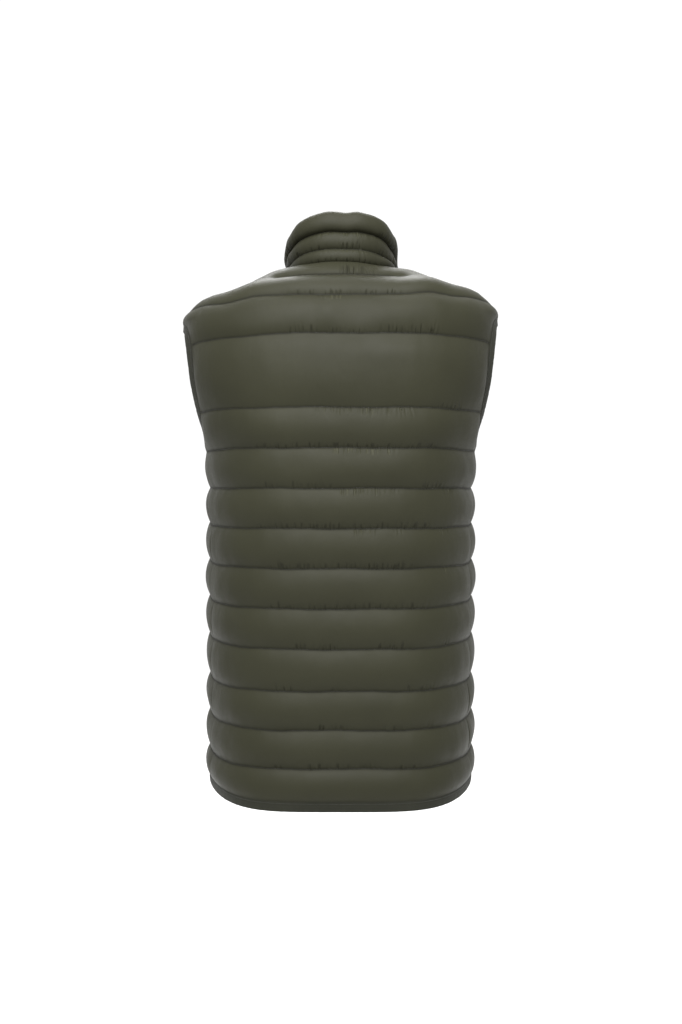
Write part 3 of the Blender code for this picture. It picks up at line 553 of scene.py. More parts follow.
def even_turns(height, start, end, share):
    """Turns from start to end that lie evenly along the body's section at each height."""
    fine = np.linspace(0, 1, 240)[None, :]
    turns = start + (end - start) * fine
    points = body_point(height + 0 * turns, turns)
    steps = np.linalg.norm(np.diff(points, axis=1), axis=-1)
    along = np.concatenate([np.zeros((len(points), 1)), np.cumsum(steps, axis=1)], axis=1)
    found = [np.interp(share[0] * a[-1], a, t) for a, t in zip(along, turns)]
    return np.array(found), along[:, -1:]


def wander(seed, channel, along):
    """A channel's fullness along its length: 1 on the whole, uneven from place to place."""
    phases = np.random.RandomState(seed).rand(40, 3)
    return 1 + waves(along, phases[channel], CHANNEL_WAVES)


def line_wobble(seed, rows, along):
    """Small strays of the sewn lines, none at the panel's lowest and highest edges."""
    phases = np.random.RandomState(seed).rand(len(rows.lines), 3)
    held = np.ones(len(rows.lines))
    held[0] = held[-1] = 0

    def stray(number):
        return waves(along, phases[number], LINE_WAVES) * held[number]

    return stray(rows.channel) * (1 - rows.share) + stray(rows.channel + 1) * rows.share


def pucker_relief(rows, along, groups, seed, depth):
    """Depth of the small gathers that the thread pulls up beside the sewn lines, and how
    gathered the cloth is at each point: up to 1 above a line and down to -1 below one. That
    mask sets the tucks' bump, painted shade above a line and a painted highlight below it."""
    pick = np.random.RandomState(seed)
    relief = np.zeros(along.shape)
    gather = np.zeros(along.shape)
    for line, side, start, end, spacing, length, size in groups:
        band = np.flatnonzero(rows.channel[:, 0] == (line if side > 0 else line - 1))
        if not len(band):
            continue
        to_line = (rows.share if side > 0 else 1 - rows.share) * rows.span
        away = to_line[band]
        within = ease((along[band] - start) / 0.008 + 0.5) * ease((end - along[band]) / 0.008 + 0.5)
        strength = min(1.0, 0.55 + 500 * size)
        held = side * strength * within * bell(away / (0.9 * length))
        gather[band] = np.where(np.abs(held) > np.abs(gather[band]), held, gather[band])
        place = start
        while place < end:
            reach = length * pick.uniform(0.40, 1.00)
            deep = size * pick.uniform(0.6, 2.0) * depth
            wide = spacing * pick.uniform(0.15, 0.25)
            lean = pick.uniform(-0.22, 0.22)
            rows_here = band[away[:, 0] < reach * 2]
            off = to_line[rows_here]
            near = along[rows_here] - place - lean * off
            cols = np.flatnonzero(np.abs(near).min(axis=0) < 3 * wide)
            if len(cols):
                near = near[:, cols]
                grip = (1 - np.exp(-off / 0.0009)) * bell(off / reach)
                form = bell(near / wide) - 0.45 * bell((np.abs(near) - 1.9 * wide) / wide)
                relief[np.ix_(rows_here, cols)] -= deep * grip * form
            place += spacing * pick.uniform(0.65, 1.45)
    return relief, gather * min(1.0, depth)


def hollow_relief(along, height, hollows):
    """Depth of the soft hollows and swells that the filling leaves."""
    relief = np.zeros(np.broadcast(along, height).shape)
    for place, middle, reach, tall, lean, depth in hollows:
        up = height - middle
        relief -= depth * bell((along - place - lean * up) / reach) * bell(up / tall)
    return relief


def edge_fullness(along, total, seam_share, fade):
    """How full the channels are near a panel's edge, which lies at total along a row."""
    edge = np.maximum(total - along, 0)
    return seam_share + (1 - seam_share) * (1 - np.exp(-edge / fade))


def outer_edge_hold(points, edge, along, total):
    """Fullness towards a panel's outer edge: seams hold it a little, bindings flatten it,
    over a longer stretch near the shoulder."""
    ends = edge[:, 2]
    bound = ease((ends - UNDERARM) / 0.012) * ease((SHOULDER_TIP - ends) / 0.012)
    seam = edge_fullness(along, total, SEAM_FULLNESS, SEAM_FADE)
    seam = seam + (1 - seam) * bound[:, None]
    nearest = np.full(points.shape[:2], 9.0)
    for spot in edge[(ends > UNDERARM - 0.0002) & (ends < SHOULDER_TIP + 0.0002)]:
        fade = BOUND_FADE + TIP_FADE * ease((spot[2] - SHOULDER_TIP + 0.045) / 0.045)
        nearest = np.minimum(nearest, np.linalg.norm(points - spot, axis=-1) / fade)
    return seam * (1 - np.exp(-nearest))


def padded_shape(rows, points, flat, relief, gather, hold, wave):
    """The wall over a panel's base points."""
    normals = body_normal(points)
    rise = rows.puff * rows.arch(PUFF_POWER) * hold * wave
    wide = np.abs(points[..., 0])
    near_tip = bell((rows.height - YOKE_LINES[-1]) / 0.013)
    # Painted shade along each sewn line, faded out towards the shoulder's tip.
    valley = rows.valley() * (1 - near_tip * ease((wide - 0.050) / 0.045)) + 0 * hold
    near_tip = near_tip * ease((wide - 0.078) / 0.024)
    rise = rise + near_tip * (0.60 * rows.puff * np.minimum(hold, 1) - rise)
    room = rise + WALL * 0.35
    rise = np.maximum(rise + relief * np.minimum(1, room / 0.0012), -WALL * 0.35)
    outer = points + normals * rise[..., None]
    return Shape(rows, outer, points - normals * WALL, normals, flat, valley, gather)


def armhole_heights():
    """Extra heights that round the armhole's foot and top."""
    foot = [UNDERARM + d for d in (-0.0010, 0.0, 0.0005, 0.0014, 0.0028, 0.0048, 0.0075, 0.0110)]
    top = [SHOULDER_TIP - d for d in (0.0090, 0.0060, 0.0036, 0.0018, 0.0007, 0.0, -0.0010)]
    return foot + top


def neck_heights():
    """Extra heights that round the front of the neck seam."""
    return [NECK_FRONT + d for d in (0.00005, 0.0002, 0.0006, 0.0012, 0.0022, 0.0036, 0.0054,
                                     0.0078, 0.0106, 0.0138)]


def undrooped(z):
    """The centre height of a back row whose ends lie at z."""
    row = z
    for _ in range(20):
        row = z - back_droop(row)
    return row


def body_lines():
    """Heights of the evenly pitched quilting lines."""
    return [LOWEST_LINE + QUILT_PITCH * i for i in range(BODY_LINES)]


@functools.cache
def back_shape(fullness, depth):
    """The back, from -X to +X."""
    lines = [HEM_SEAM, *body_lines(), *YOKE_LINES, NECK_BACK]
    puffs = [fullness] * BODY_LINES + [fullness * WIDE_FULLNESS] + [fullness] * len(YOKE_LINES)
    rows = Rows(lines, puffs, [undrooped(z) for z in armhole_heights()])
    middle = BACK_COLUMNS // 2
    share = np.linspace(-1, 1, BACK_COLUMNS + 1)[None, :]
    end = outer_turn(rows.height + back_droop(rows.height), ARMHOLE_BACK)
    turns, total = even_turns(rows.height, 0 * end, end, np.linspace(0, 1, middle + 1)[None, :])
    turns = np.concatenate([turns[:, :0:-1], turns], axis=1)
    along = share * total
    inside = ease((total - np.abs(along)) / 0.02)
    far = share ** 2
    z = rows.height + (back_droop(rows.height) + side_stray(rows.height)) * far
    z = z + centre_stray(rows.height) * (1 - far) + line_wobble(3, rows, along) * inside
    points = body_point(z, turns)
    points[..., 0] *= np.sign(share)
    half_hold = outer_edge_hold(points[:, middle:], points[:, -1], along[:, middle:], total)
    hold = np.concatenate([half_hold[:, :0:-1], half_hold], axis=1)
    relief, gather = pucker_relief(rows, along, BACK_PUCKERS, 11, depth)
    relief += hollow_relief(along, z, BACK_HOLLOWS) * np.minimum(hold, 1)
    flat = np.stack([along, rows.height + 0 * along], axis=-1)
    wave = wander(5, rows.channel, along)
    return padded_shape(rows, points, flat, relief, gather, hold, wave)


@functools.cache
def front_shape(side, fullness, depth):
    """A front, from the zip to the side: side is 1 on the wearer's left, -1 on the right."""
    lines = [HEM_SEAM, *body_lines(), *FRONT_TOP_LINES, NECK_SIDE]
    rows = Rows(lines, [fullness] * (len(lines) - 1), armhole_heights() + neck_heights())
    share = np.linspace(0, 1, FRONT_COLUMNS + 1)[None, :]
    height = rows.height
    low = ease((height - HEM_SEAM) / QUILT_PITCH)
    high = ease((SEAM_SWING + 2 * QUILT_PITCH - height) / QUILT_PITCH)
    start_x = np.where(height < NECK_FRONT, FRONT_EDGE, neck_x(height))
    start = turn_at_x(height, np.maximum(start_x, FRONT_EDGE))
    end = outer_turn(height, -ARMHOLE_FRONT)
    turns, total = even_turns(height, start, end, share)
    along = share * total
    inside = ease((total - along) / 0.02) * ease(along / 0.012)
    z = height + FRONT_RISE * low * high * ease((1 - share) / 0.2)
    z = z + side_stray(height) + line_wobble(17 + side, rows, along) * inside
    points = body_point(z, turns)
    hold = outer_edge_hold(points, points[:, -1], along, total)
    hold = hold * edge_fullness(total - along, total, 0.0, FRONT_FADE)
    relief, gather = pucker_relief(rows, along, FRONT_PUCKERS, 23 + side, depth)
    relief += hollow_relief(along + 0.012 * side, z, FRONT_HOLLOWS) * np.minimum(hold, 1)
    flat = np.stack([along, height + 0 * along], axis=-1)
    wave = wander(31 + side, rows.channel, along)
    return padded_shape(rows, points, flat, relief, gather, hold, wave)


def panels(fullness, depth):
    """The back, the left front and the right front."""
    return (back_shape(fullness, depth), front_shape(1, fullness, depth),
            front_shape(-1, fullness, depth))


def joined_round(right, back, left):
    """One path from the right front's edge round the back to the left front's. The right
    front's points are given as it is modelled, on the wearer's left."""
    return np.concatenate([(right * [-1, 1, 1])[:-1], back, left[::-1][1:]])


def even_path(path, others, count):
    """A path and the values that go with it, taken again at even steps."""
    steps = np.linalg.norm(np.diff(path, axis=0), axis=1)
    along = np.concatenate([[0], np.cumsum(steps)])
    places = np.linspace(0, along[-1], count)

    def taken(values):
        return np.stack([np.interp(places, along, values[:, k]) for k in range(values.shape[1])],
                        axis=1)

    return taken(path), [taken(v) for v in others], places


def smoothed(values, passes):
    """A row of vectors with each one drawn towards its neighbours, ends kept."""
    values = values.copy()
    for _ in range(passes):
        values[1:-1] = 0.5 * values[1:-1] + 0.25 * (values[:-2] + values[2:])
    return values


def ring_smoothed(values, passes):
    """The same for a closed ring of vectors."""
    for _ in range(passes):
        values = 0.5 * values + 0.25 * (np.roll(values, 1, axis=0) + np.roll(values, -1, axis=0))
    return values


@functools.cache
def collar_shape(fullness, depth):
    """The collar, from the right zip edge round the back to the left one."""
    back, left, right = panels(fullness, depth)
    edges = []
    for grid in ("outer", "inner"):
        sides = [getattr(shape, grid)[shape.rows.height[:, 0] > NECK_FRONT, 0]
                 for shape in (right, left)]
        edges.append(joined_round(sides[0], getattr(back, grid)[-1], sides[1]))
    base, (inner,), along = even_path(edges[0], [edges[1]], COLLAR_COLUMNS + 1)
    along = along - along[-1] / 2
    around = np.degrees(np.arctan2(np.abs(base[:, 0]), base[:, 1] - NECK_Y))
    tall, lean = collar_height(around), collar_lean(around)
    for place, reach, rise in COLLAR_CRESTS:
        tall = tall + rise * bell((along - place) / reach)
    run = unit(smoothed(np.gradient(base * [1, 1, 0], axis=0), 4))
    outward = np.stack([-run[:, 1], run[:, 0], np.zeros(len(base))], axis=1)
    outward *= np.sign(np.sum(outward * (base - [0, NECK_Y, 0]), axis=1, keepdims=True))
    lines = [v * COLLAR_TALL for v in (0.0, *COLLAR_LINES, 1.0)]
    rows = Rows(lines, [p * (fullness / FULLNESS) for p in COLLAR_PUFFS], [])
    part = rows.height / COLLAR_TALL
    fade = 1 - np.exp((FRONT_EDGE - np.abs(base[:, 0])) / 0.010)
    fade = np.where(base[:, 1] < NECK_Y, np.clip(fade, 0, 1), 1.0)[None, :]
    top = rows.channel == 2
    wave = wander(41, rows.channel, along[None, :])
    rise = rows.puff * rows.arch(np.where(top, TOP_ROLL_POWER, COLLAR_POWER)) * fade * wave
    relief, gather = pucker_relief(rows, along[None, :] + 0 * part, COLLAR_PUCKERS, 47, depth)
    rise = rise + relief * np.minimum(1, (rise + 0.0007) / 0.0012)
    up = np.array([0.0, 0.0, 1.0])
    middle = base[None] + outward[None] * (lean[None, :] * part)[..., None]
    middle = middle + up * (tall[None, :] * part)[..., None]
    sag = 0.0022 * top * np.sin(math.pi * rows.share) * fade
    outer = middle + outward[None] * rise[..., None] - up * sag[..., None]
    inside = 0.0026 * top * np.sqrt(4 * rows.share * (1 - rows.share)) * fade
    lining = middle - outward[None] * (WALL + inside)[..., None]
    blend = np.clip(part / 0.12, 0, 1)[..., None]
    lining = inner[None] * (1 - blend) + lining * blend
    lining[..., 2] = np.where(part < 0.12, inner[:, 2] + tall * part, lining[..., 2])
    # Painted shade along the collar's sewn lines, weaker than on the body and none at its top edge.
    valley = 0.4 * rows.valley() * (rows.height < rows.height[-1] - 0.005) + 0 * fade
    flat = np.stack([along[None, :] + 0 * part, rows.height + 0 * along[None, :]], axis=-1)
    return Shape(rows, outer, lining, outward[None] + 0 * outer, flat, valley, gather)


# ---------------------------------------------------------------- meshes
def outward_mesh(mesh):
    """Turns a closed mesh's faces outwards."""
    mesh.calc_loop_triangles()
    corners = np.zeros(len(mesh.loop_triangles) * 3, np.int32)
    mesh.loop_triangles.foreach_get("vertices", corners)
    places = np.zeros(len(mesh.vertices) * 3)
    mesh.vertices.foreach_get("co", places)
    a, b, c = places.reshape(-1, 3)[corners.reshape(-1, 3)].transpose(1, 0, 2)
    if np.sum(a * np.cross(b, c)) < 0:
        mesh.flip_normals()


def set_cloth_map(mesh, flat):
    """Gives the mesh a UV map in metres of cloth, from one pair of values a vertex."""
    layer = mesh.uv_layers.new(name="cloth")
    corner = np.zeros(len(mesh.loops), np.int32)
    mesh.loops.foreach_get("vertex_index", corner)
    layer.data.foreach_set("uv", flat[corner].astype(np.float32).ravel())


def new_piece(name, vertices, faces, materials, flat, marks=None, kinds=None):
    """A smooth, closed mesh object at the origin, with its cloth map, its materials and a
    named attribute for each of the marks."""
    mesh = bpy.data.meshes.new(name)
    mesh.from_pydata(vertices.tolist(), [], faces)
    for material in materials:
        mesh.materials.append(material)
    if kinds is not None:
        mesh.polygons.foreach_set("material_index", np.array(kinds, np.int32))
    set_cloth_map(mesh, flat)
    for label, values in (marks or {}).items():
        layer = mesh.attributes.new(label, "FLOAT", "POINT")
        layer.data.foreach_set("value", values.astype(np.float32))
    outward_mesh(mesh)
    mesh.shade_smooth()
    mesh.set_sharp_from_angle(angle=math.radians(75))
    mesh.validate()
    mesh.update()
    piece = bpy.data.objects.new(name, mesh)
    bpy.context.scene.collection.objects.link(piece)
    return piece


def grid_faces(count, columns, base, flip):
    """Quads of a grid of vertices, rows first."""
    r, c = np.meshgrid(np.arange(count - 1), np.arange(columns - 1), indexing="ij")
    a = base + r * columns + c
    quads = np.stack([a, a + 1, a + columns + 1, a + columns], axis=-1).reshape(-1, 4)
    return (quads[:, ::-1] if flip else quads).tolist()


def wall_piece(name, shape, side, shell, lining, every):
    """A closed padded wall: the outer face has every row, the inner face each every-th."""
    outer = worn_lean(shape.outer * [side, 1, 1])
    inner = worn_lean(shape.inner * [side, 1, 1])
    count, columns = outer.shape[:2]
    kept = sorted(set(list(range(0, count, every)) + shape.rows.line_rows() + [count - 1]))
    base = count * columns
    vertices = np.concatenate([outer.reshape(-1, 3), inner[kept].reshape(-1, 3)])
    faces = grid_faces(count, columns, 0, False)
    kinds = [0] * len(faces)
    back_faces = grid_faces(len(kept), columns, base, True)
    faces += back_faces
    kinds += [1] * len(back_faces)
    last = base + (len(kept) - 1) * columns
    for c in range(columns - 1):
        faces.append([c, base + c, base + c + 1, c + 1])
        top = (count - 1) * columns + c
        faces.append([top, top + 1, last + c + 1, last + c])
    for k in range(len(kept) - 1):
        for c in (0, columns - 1):
            run = [r * columns + c for r in range(kept[k], kept[k + 1] + 1)]
            face = run + [base + (k + 1) * columns + c, base + k * columns + c]
            faces.append(face if c == 0 else face[::-1])
    kinds += [0] * (len(faces) - len(kinds))
    flat = np.concatenate([shape.flat.reshape(-1, 2), shape.flat[kept].reshape(-1, 2)])
    # The masks of painted shade and of the tucks, weaker on the inner face.
    marks = {label: np.concatenate([grid.ravel(), 0.35 * grid[kept].ravel()])
             for label, grid in (("valley", shape.valley), ("gather", shape.gather))}
    return new_piece(name, vertices, faces, [shell, lining], flat, marks, kinds)


def band_piece(name, rings, closed, material, flat_across, flat_along):
    """A band through rings of points; each ring runs round the band's section."""
    count, size = rings.shape[:2]
    rings = worn_lean(rings)
    faces = []
    for i in range(count if closed else count - 1):
        j = (i + 1) % count
        for k in range(size):
            n = (k + 1) % size
            faces.append([i * size + k, i * size + n, j * size + n, j * size + k])
    if not closed:
        faces.append(list(range(size))[::-1])
        faces.append([(count - 1) * size + k for k in range(size)])
    across = np.broadcast_to(flat_across[None, :], (count, size))
    along = np.broadcast_to(flat_along[:, None], (count, size))
    flat = np.stack([along, across], axis=-1).reshape(-1, 2)
    return new_piece(name, rings.reshape(-1, 3), faces, [material], flat)


def tape_profile(width, depth):
    """Section of a folded tape as (reach off the panel's edge, height over the panel's
    outer face): along the outer leaf, round the fold and back along the inner leaf, with
    the tape's own thickness turned inwards."""
    radius = depth / 2
    straight = width - radius
    middle = radius - depth
    leaf = np.linspace(-LAP, straight, 9)
    swell = 0.0004 * np.sin(np.clip((leaf + LAP) / (straight + LAP), 0, 1) * math.pi)
    turn = np.linspace(0, math.pi, 9)[1:-1]
    outside = [(x, s) for x, s in zip(leaf, swell)]
    outside += [(straight + radius * math.sin(a), middle + radius * math.cos(a)) for a in turn]
    outside += [(x, -depth - s) for x, s in zip(leaf[::-1], swell[::-1])]
    line = np.array(outside)
    run = unit(np.gradient(line, axis=0))
    inward = np.stack([run[:, 1], -run[:, 0]], axis=1) * TAPE_THICK
    return np.concatenate([line, (line + inward)[::-1]])


def tape_normal(outer, inner, off):
    """Outward directions along a bound edge, square to its direction off the panel."""
    normal = unit(outer - inner)
    return unit(normal - off * np.sum(normal * off, axis=1, keepdims=True))


def binding_rings(outer, inner, off, width, ripple):
    """Rings of a folded tape that laps over a panel's edge."""
    normal = tape_normal(outer, inner, off)
    profile = tape_profile(width, WALL + 2 * TAPE_LIFT)
    rings = []
    for reach, lift in profile:
        grown = ripple * (0.35 + 0.65 * np.clip(reach / width, 0, 1))
        height = lift + TAPE_LIFT + np.where(lift > -0.0016, grown, -grown)
        rings.append(outer + off * (reach + GAP) + normal * height[:, None])
    steps = np.linalg.norm(np.diff(profile, axis=0), axis=1)
    return np.array(rings).transpose(1, 0, 2), np.concatenate([[0], np.cumsum(steps)])


def tape_ripple(seed, along, size):
    """Small uneven gathers along a binding."""
    pick = np.random.RandomState(seed)
    wave = np.zeros(len(along))
    for length in (0.0068, 0.0093, 0.0147, 0.031):
        wave += np.sin(2 * math.pi * (along / (length * pick.uniform(0.9, 1.1)) + pick.rand()))
    return size * wave / 2


def armhole_edge(side, fullness, depth):
    """The armhole's edge on the left side of the centre line: outer and inner points and
    directions off the panels, from the underarm up the back and down the front."""
    edges, inners, offs = [], [], []
    pieces = ((back_shape(fullness, depth), -1 if side > 0 else 0, False),
              (front_shape(side, fullness, depth), -1, True))
    for shape, column, backwards in pieces:
        beside = 4 if column == 0 else -5
        flip = [-1, 1, 1] if column == 0 else [1, 1, 1]
        ends = shape.outer[:, column, 2]
        kept = np.flatnonzero((ends > UNDERARM - 0.0006) & (ends < SHOULDER_TIP + 0.0006))
        kept = kept[::-1][1:-1] if backwards else kept
        edges.append(shape.outer[kept, column] * flip)
        inners.append(shape.inner[kept, column] * flip)
        offs.append(shape.inner[kept, beside] * flip)
    outer, inner = np.concatenate(edges), np.concatenate(inners)
    run = unit(np.roll(inner, -1, axis=0) - np.roll(inner, 1, axis=0))
    off = unit(inner - np.concatenate(offs))
    off = unit(off - run * np.sum(off * run, axis=1, keepdims=True))
    middle = np.array([[0, outer[:, 1].mean(), (UNDERARM + SHOULDER_TIP) / 2]])
    inward = unit((middle - outer) * [0, 1, 1])
    agree = np.clip(np.sum(off * inward, axis=1, keepdims=True), 0, 1)
    off = unit(unit(off * agree + inward) + np.array([[1.0, 0, 0]]) * binding_flare(outer[:, 2:]))
    loop = [np.concatenate([v, v[:1]]) for v in (outer, inner, off)]
    path, (inner, off), along = even_path(loop[0], loop[1:], ARMHOLE_STEPS + 1)
    path, inner, off = (ring_smoothed(v[:-1], n) for v, n in ((path, 6), (inner, 6), (off, 60)))
    return path, inner, unit(off), along


def hem_edge(fullness, depth):
    """The hem's edge from the right zip edge round the back to the left one."""
    back, left, right = panels(fullness, depth)
    outer = joined_round(right.outer[0], back.outer[0], left.outer[0])
    inner = joined_round(right.inner[0], back.inner[0], left.inner[0])
    path, (inner,), along = even_path(outer, [inner], HEM_STEPS + 1)
    return path, inner, np.tile([0.0, 0.0, -1.0], (len(path), 1)), along


# ---------------------------------------------------------------- sewing and zip rows
def line_object(name, lines):
    """A mesh of edges only, one run for each line of points."""
    vertices, edges = [], []
    for line in lines:
        first = len(vertices)
        vertices += [tuple(p) for p in line.tolist()]
        edges += [(first + i, first + i + 1) for i in range(len(line) - 1)]
    mesh = bpy.data.meshes.new(name)
    mesh.from_pydata(vertices, edges, [])
    item = bpy.data.objects.new(name, mesh)
    bpy.context.scene.collection.objects.link(item)
    return item


@functools.cache
def row_tree(name, level_across):
    """A geometry tree that sets small rounded bodies in a row along each line. With
    level_across, each body's first axis stays level with the world's X axis."""
    group = bpy.data.node_groups.new(name, "GeometryNodeTree")
    for label, kind in (("Geometry", "Geometry"), ("Pitch", "Float"), ("Size", "Vector"),
                        ("Unevenness", "Float"), ("Seed", "Int"), ("Material", "Material")):
        group.interface.new_socket(label, in_out="INPUT", socket_type=f"NodeSocket{kind}")
    group.interface.new_socket("Geometry", in_out="OUTPUT", socket_type="NodeSocketGeometry")
    t = Tree(group)
    given = t.add("NodeGroupInput").outputs
    curve = t.add("GeometryNodeMeshToCurve", Mesh=given["Geometry"]).outputs["Curve"]
    points = t.add("GeometryNodeCurveToPoints", {"mode": "LENGTH"}, Curve=curve,
                   Length=given["Pitch"]).outputs
    ball = t.add("GeometryNodeMeshUVSphere", Segments=6, Rings=4, Radius=0.5).outputs["Mesh"]
    shaped = t.add("GeometryNodeTransform", Geometry=ball, Scale=given["Size"])
    smooth = t.add("GeometryNodeSetShadeSmooth", Geometry=shaped.outputs["Geometry"])
    chance = t.add("FunctionNodeRandomValue", {"data_type": "FLOAT"}, Seed=given["Seed"],
                   i2=t.math("SUBTRACT", 1.0, given["Unevenness"]),
                   i3=t.math("ADD", 1.0, given["Unevenness"]))
    turned = t.add("FunctionNodeAlignRotationToVector", {"axis": "Z"}, Vector=points["Tangent"])
    if level_across:
        turned = t.add("FunctionNodeAlignRotationToVector", {"axis": "X", "pivot_axis": "Z"},
                       Vector=(1.0, 0.0, 0.0), Rotation=turned.outputs["Rotation"])
    placed = t.add("GeometryNodeInstanceOnPoints", Points=points["Points"],
                   Instance=smooth.outputs["Geometry"], Rotation=turned.outputs["Rotation"],
                   Scale=chance.outputs[1])
    real = t.add("GeometryNodeRealizeInstances", Geometry=placed.outputs["Instances"])
    coloured = t.add("GeometryNodeSetMaterial", Geometry=real.outputs["Geometry"],
                     Material=given["Material"])
    t.add("NodeGroupOutput", Geometry=coloured.outputs["Geometry"])
    return group


def row_piece(name, lines, tree, pitch, size, unevenness, seed, material):
    """Runs a row tree over lines and keeps the result as a plain mesh."""
    item = line_object(name, lines)
    rows = item.modifiers.new("rows", "NODES")
    rows.node_group = tree
    values = {"Pitch": pitch, "Size": size, "Unevenness": unevenness, "Seed": seed,
              "Material": material}
    for socket in tree.interface.items_tree:
        if socket.in_out == "INPUT" and socket.name in values:
            rows[socket.identifier] = values[socket.name]
    shown = item.evaluated_get(bpy.context.evaluated_depsgraph_get())
    mesh = bpy.data.meshes.new_from_object(shown)
    mesh.name = name
    item.modifiers.clear()
    item.data = mesh
    return item


# ---------------------------------------------------------------- materials
class Tree:
    """A node tree whose nodes are made, set and linked in one line each."""

    def __init__(self, tree):
        self.tree = tree

    def add(self, kind, settings=None, **inputs):
        """A node with its properties and its inputs, each a value or another's output."""
        node = self.tree.nodes.new(kind)
        for label, value in (settings or {}).items():
            setattr(node, label, value)
        for label, value in inputs.items():
            key = int(label[1:]) if label[1:].isdigit() else label.replace("_", " ")
            self.feed(node.inputs[key], value)
        return node

    def feed(self, socket, value):
        """Sets an input to a value, or links it to an output."""
        if isinstance(value, bpy.types.NodeSocket):
            self.tree.links.new(value, socket)
        else:
            socket.default_value = value

    def math(self, operation, a, b):
        """Two values joined by an operation."""
        return self.add("ShaderNodeMath", {"operation": operation}, i0=a, i1=b).outputs[0]


class Nodes(Tree):
    """A material's nodes."""

    def __init__(self, name):
        self.material = bpy.data.materials.new(name)
        self.material.use_nodes = True
        super().__init__(self.material.node_tree)
        self.shader = self.tree.nodes["Principled BSDF"]

    def shade(self, **inputs):
        """Sets the shader's inputs."""
        for label, value in inputs.items():
            self.feed(self.shader.inputs[label.replace("_", " ")], value)

    def noise(self, vector, scale, detail=3.0, rough=0.5):
        """A noise value from 0 to 1."""
        return self.add("ShaderNodeTexNoise", Vector=vector, Scale=scale, Detail=detail,
                        Roughness=rough).outputs["Fac"]

    def range(self, value, low, high, to_low, to_high):
        """A value's range moved to another."""
        return self.add("ShaderNodeMapRange", Value=value, From_Min=low, From_Max=high,
                        To_Min=to_low, To_Max=to_high).outputs["Result"]

    def mix(self, factor, a, b):
        """A colour between two."""
        return self.add("ShaderNodeMix", {"data_type": "RGBA"}, Factor=factor, i6=a,
                        i7=b).outputs[2]

    def scaled(self, vector, x, y, z):
        """A vector stretched along its axes."""
        return self.add("ShaderNodeMapping", Vector=vector, Scale=(x, y, z)).outputs["Vector"]

    def wave(self, vector, scale, direction, profile="SIN"):
        """Even bands across one axis."""
        settings = {"wave_type": "BANDS", "bands_direction": direction, "wave_profile": profile}
        return self.add("ShaderNodeTexWave", settings, Vector=vector, Scale=scale).outputs["Fac"]

    def bump(self, height, distance, strength, under=None):
        """A bump over the one given as under."""
        node = self.add("ShaderNodeBump", Height=height, Distance=distance, Strength=strength)
        if under is not None:
            self.tree.links.new(under, node.inputs["Normal"])
        return node.outputs["Normal"]


def shade_of(colour, factor):
    """A colour made lighter or darker."""
    return (*[min(1.0, c * factor) for c in colour[:3]], 1.0)


def nylon(name, colour, roughness, weave_depth):
    """Down-proof nylon: a fine plain weave, a satin sheen, painted shade along each sewn
    line, and small tucks beside the sewing, with painted shade above a line and a painted
    highlight below it."""
    m = Nodes(name)
    place = m.add("ShaderNodeTexCoord")
    cloth, spot = place.outputs["UV"], place.outputs["Object"]
    # Mask of the painted shade along each sewn line; it also makes the cloth rougher there.
    valley = m.add("ShaderNodeAttribute", {"attribute_name": "valley"}).outputs["Fac"]
    cloudy = m.noise(spot, 9.0, 3.0)
    tone = m.mix(m.range(cloudy, 0.3, 0.7, 0.0, 1.0), shade_of(colour, 0.93), shade_of(colour, 1.07))
    # Mask of the tucks: their bump, painted shade above a line, painted highlight below it.
    gather = m.add("ShaderNodeAttribute", {"attribute_name": "gather"}).outputs["Fac"]
    lengths = m.math("MULTIPLY", m.noise(m.scaled(cloth, 110.0, 3.0, 1.0), 1.0, 1.0), 1.1)
    tucks = m.range(m.noise(m.scaled(cloth, 290.0, 12.0, 1.0), 1.0, 1.0), 0.53, 0.66, 0.0, 1.0)
    held = m.math("ADD", m.math("ABSOLUTE", gather, 0.0), lengths)
    tucks = m.math("MULTIPLY", tucks, m.range(held, 0.85, 1.20, 0.0, 1.0))
    # Painted highlight on the tucks below a line; painted shade on those above it and along the sewn
    # lines.
    painted_highlight = m.math("MULTIPLY", tucks, m.math("LESS_THAN", gather, 0.0))
    painted_shade = m.math("MULTIPLY", m.math("SUBTRACT", tucks, painted_highlight), 0.38)
    painted_shade = m.math("MAXIMUM", m.math("MULTIPLY", valley, 0.90), painted_shade)
    # Painted shade darkens the cloth to 0.22 of its colour; the painted highlight lightens it to
    # twice.
    tone = m.mix(painted_shade, tone, shade_of(colour, 0.22))
    tone = m.mix(m.math("MULTIPLY", painted_highlight, 0.45), tone, shade_of(colour, 2.0))
    yarns = m.math("MULTIPLY", m.wave(cloth, 620.0, "X"), m.wave(cloth, 700.0, "Y"))
    slubs = m.noise(m.scaled(cloth, 90.0, 1400.0, 1.0), 1.0, 2.0)
    crinkle = m.noise(m.scaled(cloth, 150.0, 60.0, 1.0), 1.0, 3.0, 0.55)
    dents = m.noise(m.scaled(cloth, 46.0, 30.0, 1.0), 1.0, 2.0)
    normal = m.bump(dents, 0.0016, 0.30)
    normal = m.bump(m.math("SUBTRACT", 1.0, tucks), 0.0010, 0.70, normal)
    normal = m.bump(crinkle, 0.0006, 0.28, normal)
    normal = m.bump(m.math("ADD", yarns, m.math("MULTIPLY", slubs, 0.6)), weave_depth, 0.30, normal)
    rough = m.range(m.noise(spot, 38.0, 3.0), 0.3, 0.7, roughness - 0.04, roughness + 0.05)
    m.shade(Base_Color=tone, Roughness=m.math("ADD", rough, m.math("MULTIPLY", valley, 0.30)),
            Normal=normal, Specular_IOR_Level=0.08)
    return m.material


